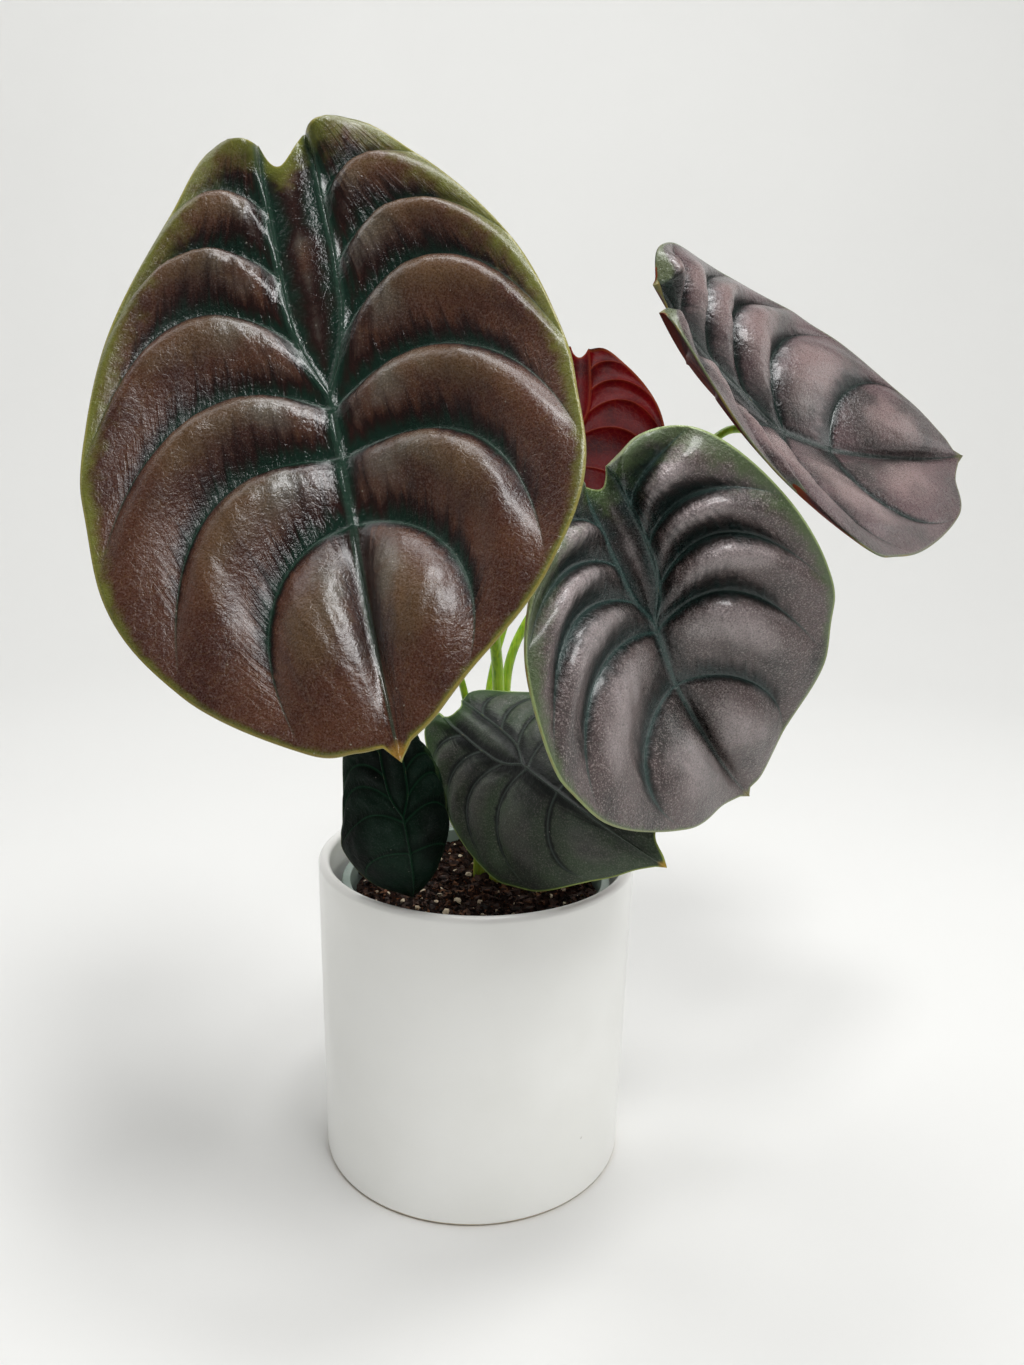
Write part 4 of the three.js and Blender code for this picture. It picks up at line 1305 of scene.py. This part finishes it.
def close_tree(graph, geometry, output, material):
    whole = graph.node("GeometryNodeRealizeInstances", {0: geometry})
    coloured = graph.node("GeometryNodeSetMaterial", {0: whole.outputs[0], "Material": material})
    graph.tree.links.new(coloured.outputs[0], output.inputs[0])


def petiole_tree():
    """Sweeps a round profile along a curve, as wide as the curve's radius."""
    sockets = [
        ("Sides", "NodeSocketInt", 24),
        ("Width", "NodeSocketFloat", 1.0),
        ("Material", "NodeSocketMaterial", None),
    ]
    graph, source, output = node_group("petiole_growth", sockets)
    profile = graph.node(
        "GeometryNodeCurvePrimitiveCircle",
        {"Resolution": source.outputs["Sides"], "Radius": source.outputs["Width"]},
    )
    girth = graph.node("GeometryNodeInputRadius")
    tube = graph.node(
        "GeometryNodeCurveToMesh",
        {
            "Curve": source.outputs[0],
            "Profile Curve": profile.outputs[0],
            "Scale": girth.outputs[0],
            "Fill Caps": True,
        },
    )
    soft = graph.node("GeometryNodeSetShadeSmooth", {0: tube.outputs[0]})
    close_tree(graph, soft.outputs[0], output, source.outputs["Material"])
    return graph


def grain_tree(name, flat, crystals):
    """Scatters uneven grains over a surface."""
    sockets = [
        ("Spacing", "NodeSocketFloat", 0.004),
        ("Size", "NodeSocketFloat", 0.001),
        ("Least", "NodeSocketFloat", 0.5),
        ("Most", "NodeSocketFloat", 1.5),
        ("Seed", "NodeSocketInt", 1),
        ("Material", "NodeSocketMaterial", None),
    ]
    graph, source, output = node_group(name, sockets)
    seed = source.outputs["Seed"]

    def draw(low, high, kind="FLOAT_VECTOR", first=0):
        inputs = {first: low, first + 1: high, "Seed": seed}
        return graph.node("FunctionNodeRandomValue", inputs, data_type=kind)

    spread = graph.node(
        "GeometryNodeDistributePointsOnFaces",
        {"Mesh": source.outputs[0], "Distance Min": source.outputs["Spacing"], "Seed": seed},
        distribute_method="POISSON",
    )
    graph.feed(spread.inputs["Density Max"], MOST_GRAINS)
    if crystals:
        grain = graph.node(
            "GeometryNodeMeshIcoSphere", {"Radius": source.outputs["Size"], "Subdivisions": crystals}
        )
    else:
        size = graph.scaled((2.0, 1.1, 0.6), source.outputs["Size"])
        grain = graph.node(
            "GeometryNodeMeshCube", {"Size": size, "Vertices X": 3, "Vertices Y": 3, "Vertices Z": 2}
        )

    turn = draw((-flat, -flat, 0.0), (flat, flat, 6.283))
    girth = draw(source.outputs["Least"], source.outputs["Most"], "FLOAT", 2)
    shape = draw((0.7, 0.7, 0.55), (1.25, 1.25, 1.0))
    placed = graph.node(
        "GeometryNodeInstanceOnPoints",
        {
            "Points": spread.outputs[0],
            "Instance": grain.outputs[0],
            "Rotation": turn.outputs[0],
            "Scale": graph.scaled(shape.outputs[0], girth.outputs[1]),
        },
    )
    whole = graph.node("GeometryNodeRealizeInstances", {0: placed.outputs[0]})
    spot = graph.node("GeometryNodeInputPosition")
    reach = graph.math("MULTIPLY", source.outputs["Size"], 2.4)
    shift = graph.scatter(spot.outputs[0], 900.0, reach)
    moved = graph.node("GeometryNodeSetPosition", {0: whole.outputs[0], "Offset": shift})
    close_tree(graph, moved.outputs[0], output, source.outputs["Material"])
    return graph


class CoverPot(bpy.types.Operator):
    """Makes the glazed cover pot"""

    bl_idname = "alocasia.cover_pot"
    bl_label = "Cover Pot"

    def execute(self, context):
        s = context.scene.alocasia.pot
        lip = s.wall / 2
        inside = s.rim_radius - s.wall
        foot = rounded(s.foot_radius - 0.002, 0.002, 0.002, -90, 0, 8)
        rim = rounded(s.rim_radius - lip, s.height - lip, lip, 0, 180, 18)
        well = rounded(inside - 0.005, s.floor + 0.003, 0.003, 0, -90, 6)
        profile = [
            (0, 0),
            (0.03, 0),
            *foot,
            *levels(foot[-1], rim[0], 16),
            *rim,
            *levels(rim[-1], well[0], 12),
            *well,
            (0.02, s.floor),
            (0, s.floor),
        ]
        piece = lathe("glazed_pot", profile, s.segments, glaze_finish(s))
        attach(piece, "root")
        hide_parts("cover_pot")
        return {"FINISHED"}


class NurseryPot(bpy.types.Operator):
    """Makes the thin nursery pot with its drain holes"""

    bl_idname = "alocasia.nursery_pot"
    bl_label = "Nursery Pot"

    def execute(self, context):
        s = context.scene.alocasia.pot
        low = s.floor + GAP * MM
        neck = s.nursery_radius - 0.0022
        ledge = s.nursery_top - s.nursery_rim
        inner = neck - s.nursery_wall
        profile = [
            (0, low),
            (s.nursery_foot - 0.0008, low),
            (s.nursery_foot, low + 0.0008),
            *levels((s.nursery_foot, low + 0.0008), (neck, ledge), 8),
            (neck, ledge),
            (s.nursery_radius - 0.0003, ledge),
            (s.nursery_radius, ledge + 0.0004),
            *rounded(s.nursery_radius - 0.0006, s.nursery_top - 0.0006, 0.0006, 0, 90, 4),
            *rounded(inner + 0.0005, s.nursery_top - 0.0006, 0.0006, 90, 180, 4),
            (inner, ledge),
            *levels((inner, ledge), (s.nursery_foot - s.nursery_wall, low + s.nursery_wall), 8),
            (s.nursery_foot - s.nursery_wall, low + s.nursery_wall),
            (0, low + s.nursery_wall),
        ]
        piece = lathe("thin_pot", profile, s.segments, plastic_finish(s))
        drill = bmesh.new()
        for x, y, z in ring(DRAIN_RING, low, DRAIN_HOLES):
            bmesh.ops.create_cone(
                drill,
                cap_ends=True,
                segments=24,
                radius1=DRAIN_RADIUS,
                radius2=DRAIN_RADIUS,
                depth=0.008,
                matrix=Matrix.Translation((x, y, z)),
            )
        cutter_mesh = bpy.data.meshes.new("drain_cutter")
        drill.to_mesh(cutter_mesh)
        drill.free()
        cutter = bpy.data.objects.new("drain_cutter", cutter_mesh)
        context.collection.objects.link(cutter)
        cut = piece.modifiers.new("drain", "BOOLEAN")
        cut.operation = "DIFFERENCE"
        cut.object = cutter
        settle(piece)
        bpy.data.objects.remove(cutter)
        bpy.data.meshes.remove(cutter_mesh)
        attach(piece, "root")
        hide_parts("nursery_pot")
        return {"FINISHED"}


class PottingMix(bpy.types.Operator):
    """Makes the potting mix with its crumbs, bark chips and perlite"""

    bl_idname = "alocasia.potting_mix"
    bl_label = "Potting Mix"

    def execute(self, context):
        s = context.scene.alocasia.mix
        pot = context.scene.alocasia.pot
        floor = pot.floor / MM + GAP + pot.nursery_wall / MM + GAP
        low = (pot.nursery_foot - pot.nursery_wall) / MM - 0.5
        high = low + MIX_FLARE
        rings, sides = 70, 150
        spots = [(0, 0, soil_height(0, 0))]
        for k in range(1, rings + 1):
            spots.extend((x, y, soil_height(x, y)) for x, y, _ in ring(high * k / rings, 0, sides))
        faces = disc_faces(rings, sides)
        top_faces = list(faces)
        top_spots = [tuple(c * MM for c in spot) for spot in spots]
        first = len(spots)
        for share in (0.5, 1.0):
            height = MIX_SIDE + (floor - MIX_SIDE) * share
            spots.extend(ring(high + (low - high) * share, height, sides))
        spots.append((0, 0, floor))
        for i in range(sides):
            after = (i + 1) % sides
            a, b = first - sides + i, first - sides + after
            faces.append((a, first + i, first + after, b))
            faces.append((first + i, first + sides + i, first + sides + after, first + after))
            faces.append((first + sides + after, first + sides + i, len(spots) - 1))
        all_spots = [tuple(c * MM for c in spot) for spot in spots]
        body = new_piece("peat_body", all_spots, faces, peat_finish(s))
        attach(body, "root")
        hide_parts("potting_mix")
        # Name, spacing, size, its least and most, tilt, roundness (0 is a flat chip), finish, seed.
        kinds = (
            ("crumbs", s.crumb_spacing, s.crumb_size, 0.5, 1.5, 3.14, 1, peat_finish(s), 0),
            ("bark_chips", s.chip_spacing, s.chip_size, 0.4, 1.3, 0.5, 0, bark_finish(s), 1),
            ("perlite", s.perlite_spacing, s.perlite_size, 0.3, 2.5, 3.14, 2, perlite_finish(s), 2),
        )
        for name, spacing, size, least, most, flat, crystals, material, order in kinds:
            ground = new_piece(name, top_spots, top_faces, material)
            tree = grain_tree(f"{name}_scatter", flat, crystals)
            grow(
                ground,
                tree,
                {
                    "Spacing": spacing,
                    "Size": size,
                    "Least": least,
                    "Most": most,
                    "Seed": s.seed + order,
                    "Material": material,
                },
            )
            settle(ground)
            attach(ground, "root")
        return {"FINISHED"}


class Petioles(bpy.types.Operator):
    """Makes the six petioles and the sheaths round their feet"""

    bl_idname = "alocasia.petioles"
    bl_label = "Petioles"

    def execute(self, context):
        s = context.scene.alocasia.petiole
        material = petiole_finish(s)
        tree = petiole_tree()
        for letter, stalk in PETIOLES.items():
            leaf = LEAVES[letter]
            end = np.array(leaf["at"]) - face_way(leaf) * JOINT_DEPTH
            first = stalk["path"][0]
            path = [(first[0], first[1], SOIL_TOP - ROOT_DEPTH), *stalk["path"], tuple(end)]
            centre = curve_points(path, STALK_ROWS)
            u = np.linspace(0, 1, STALK_ROWS)
            foot, top = stalk["radius"]
            radius = foot + (top - foot) * np.minimum(1, u * 1.4) ** 0.7
            radius = radius + 0.35 * np.exp(-(((u - 1) / 0.03) ** 2))
            line = bpy.data.curves.new(f"stalk_{letter}", "CURVE")
            line.dimensions = "3D"
            spline = line.splines.new("POLY")
            spline.points.add(len(centre) - 1)
            for point, spot, width in zip(spline.points, centre, radius):
                point.co = (*(spot * MM), 1)
                point.radius = width * MM
            stem = bpy.data.objects.new(f"petiole_{letter}", line)
            context.collection.objects.link(stem)
            grow(stem, tree, {"Sides": s.sides, "Width": 1.0, "Material": material})
            graph = context.evaluated_depsgraph_get()
            plain = bpy.data.meshes.new_from_object(stem.evaluated_get(graph))
            bpy.data.objects.remove(stem)
            piece = bpy.data.objects.new(f"petiole_{letter}", plain)
            context.collection.objects.link(piece)
            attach(piece, "root")
            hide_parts(f"leaf_{letter}_petiole")
            sheath = self.sheath(letter, centre, radius, stalk["sheath"], material, s)
            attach(sheath, "root")
        return {"FINISHED"}

    def sheath(self, letter, centre, radius, reach, material, s):
        """A thin open tube round the foot, cut to a slanting mouth."""
        rows, sides = 40, 28
        way = np.gradient(centre, axis=0)
        spots = []
        for k in range(rows + 1):
            for i in range(sides + 1):
                angle = math.radians(-WRAP + 2 * WRAP * i / sides)
                share = reach * (k / rows) * (1 - 0.3 * abs(angle / math.radians(WRAP)) ** 1.6)
                place = share * (len(centre) - 1)
                low = int(place)
                mix = place - low
                spot = centre[low] * (1 - mix) + centre[low + 1] * mix
                ahead = way[low] / np.linalg.norm(way[low])
                side = np.cross(ahead, (0.0, 1.0, 0.0))
                side /= np.linalg.norm(side)
                out = np.cross(ahead, side)
                girth = radius[low] + 0.35 + 0.25 * math.sin(math.pi * min(1, k / rows * 1.05))
                away = math.cos(angle) * out + math.sin(angle) * side
                spots.append(tuple((spot + away * girth) * MM))
        faces = []
        for k in range(rows):
            for i in range(sides):
                a = k * (sides + 1) + i
                faces.append((a, a + 1, a + sides + 2, a + sides + 1))
        piece = new_piece(f"sheath_{letter}", spots, faces, material)
        work = bmesh.new()
        work.from_mesh(piece.data)
        middle = Vector(centre[5] * MM)
        bmesh.ops.recalc_face_normals(work, faces=work.faces)
        face = work.faces[len(work.faces) // 20]
        if face.normal.dot(face.calc_center_median() - middle) < 0:
            bmesh.ops.reverse_faces(work, faces=work.faces)
        work.to_mesh(piece.data)
        work.free()
        wall = piece.modifiers.new("thickness", "SOLIDIFY")
        wall.thickness = s.sheath
        wall.offset = -1
        return settle(piece)


class Blades(bpy.types.Operator):
    """Makes the six quilted blades"""

    bl_idname = "alocasia.blades"
    bl_label = "Blades"

    def execute(self, context):
        s = context.scene.alocasia.blade
        for letter in LEAVES:
            look = LOOKS[letter]
            materials = (
                face_finish(letter, s, look),
                back_finish(letter, s, look),
                rim_finish(letter, look),
            )
            piece = blade_mesh(letter, look, s, materials)
            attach(piece, "root")
            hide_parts(f"leaf_{letter}_blade")
        return {"FINISHED"}


class Stage(bpy.types.Operator):
    """Makes the floor, the lights and the camera"""

    bl_idname = "alocasia.stage"
    bl_label = "Stage"

    def execute(self, context):
        s = context.scene.alocasia.stage
        paper = finish(
            "pale_paper",
            lambda graph, place, shader: wear(
                graph,
                shader,
                base_color=graph.blend(graph.noise(place, 3, 2), s.paper, tint("#e8e8e6")),
                roughness=0.85,
            ),
        )
        sweep, sides = 0.9, 72
        bend = [
            (s.radius + sweep * math.sin(angle), sweep - sweep * math.cos(angle))
            for angle in np.linspace(0, 1.5, 16)
        ]
        profile = [(0.3, 0.0), (0.6, 0.0), *bend, (bend[-1][0] + 0.1, 1.8)]
        spots = [(0, 0, 0)]
        for radius, height in profile:
            spots.extend(ring(radius, height, sides))
        faces = disc_faces(len(profile), sides)
        near = [face for face in faces if all(spots[i][1] < -0.2 and spots[i][2] > 0 for i in face)]
        kept = set(near)
        floor = new_piece("backdrop", spots, [face for face in faces if face not in kept], paper)
        front = new_piece("front_wall", spots, near, paper)
        front.visible_glossy = False
        plant = (0.0, 0.0, 0.25)
        self.light("top", (0.3, -0.62, 1.32), plant, 0.42, s.top)
        self.light("crown", (0.15, -0.22, 1.5), plant, 0.28, s.crown)
        self.light("side", (1.15, 0.05, 0.6), plant, 0.7, s.side)
        self.light("fill", (-0.75, 0.25, 1.2), plant, 0.6, s.fill)
        self.light("wash", (0.0, 0.5, 1.75), (0.0, 1.5, 0.5), 1.0, s.wash)
        world = bpy.data.worlds.new("soft_room")
        world.use_nodes = True
        background = world.node_tree.nodes["Background"]
        background.inputs[0].default_value = (1, 1, 1, 1)
        background.inputs[1].default_value = s.room
        context.scene.world = world
        context.scene.view_settings.view_transform = "Standard"
        self.camera(context)
        return {"FINISHED"}

    def light(self, name, where, at, size, energy):
        lamp = bpy.data.lights.new(name, "AREA")
        lamp.shape = "DISK"
        lamp.size = size
        lamp.energy = energy
        holder = bpy.data.objects.new(name, lamp)
        holder.location = where
        holder.rotation_euler = (Vector(at) - Vector(where)).to_track_quat("-Z", "Y").to_euler()
        bpy.context.collection.objects.link(holder)

    def camera(self, context):
        yaw, pitch, roll = CAMERA_TURN
        ahead = Vector(
            (math.sin(yaw) * math.cos(pitch), math.cos(yaw) * math.cos(pitch), -math.sin(pitch))
        )
        right = Vector((math.cos(yaw), -math.sin(yaw), 0))
        up = right.cross(ahead)
        across = right * math.cos(roll) + up * math.sin(roll)
        head = up * math.cos(roll) - right * math.sin(roll)
        lens = bpy.data.cameras.new("camera")
        lens.sensor_width = SENSOR
        lens.lens = SENSOR * FOCAL_PIXELS / FRAME_HEIGHT
        holder = bpy.data.objects.new("camera", lens)
        turn = Matrix((across, head, -ahead)).transposed().to_4x4()
        holder.matrix_world = Matrix.Translation(CAMERA_AT) @ turn
        context.collection.objects.link(holder)
        context.scene.camera = holder


OPERATORS = (CoverPot, NurseryPot, PottingMix, Petioles, Blades, Stage)


class AlocasiaPanel(bpy.types.Panel):
    """Lists the steps that build the plant"""

    bl_idname = "VIEW3D_PT_alocasia"
    bl_label = "Potted Alocasia"
    bl_space_type = "VIEW_3D"
    bl_region_type = "UI"
    bl_category = "Alocasia"

    def draw(self, context):
        for operator in OPERATORS:
            self.layout.operator(operator.bl_idname)
        for name in ("pot", "mix", "blade", "petiole", "stage"):
            group = getattr(context.scene.alocasia, name)
            box = self.layout.box()
            box.label(text=name.title())
            for key in group.__annotations__:
                box.prop(group, key)


SETTINGS = (PotSettings, MixSettings, BladeSettings, PetioleSettings, StageSettings, PlantSettings)


def register():
    for cls in (*SETTINGS, *OPERATORS, AlocasiaPanel):
        bpy.utils.register_class(cls)
    bpy.types.Scene.alocasia = PointerProperty(type=PlantSettings)


def unregister():
    del bpy.types.Scene.alocasia
    for cls in reversed((*SETTINGS, *OPERATORS, AlocasiaPanel)):
        bpy.utils.unregister_class(cls)


def main():
    register()
    bpy.ops.alocasia.cover_pot()
    bpy.ops.alocasia.nursery_pot()
    bpy.ops.alocasia.potting_mix()
    bpy.ops.alocasia.petioles()
    bpy.ops.alocasia.blades()
    bpy.ops.alocasia.stage()


if __name__ == "__main__":
    main()
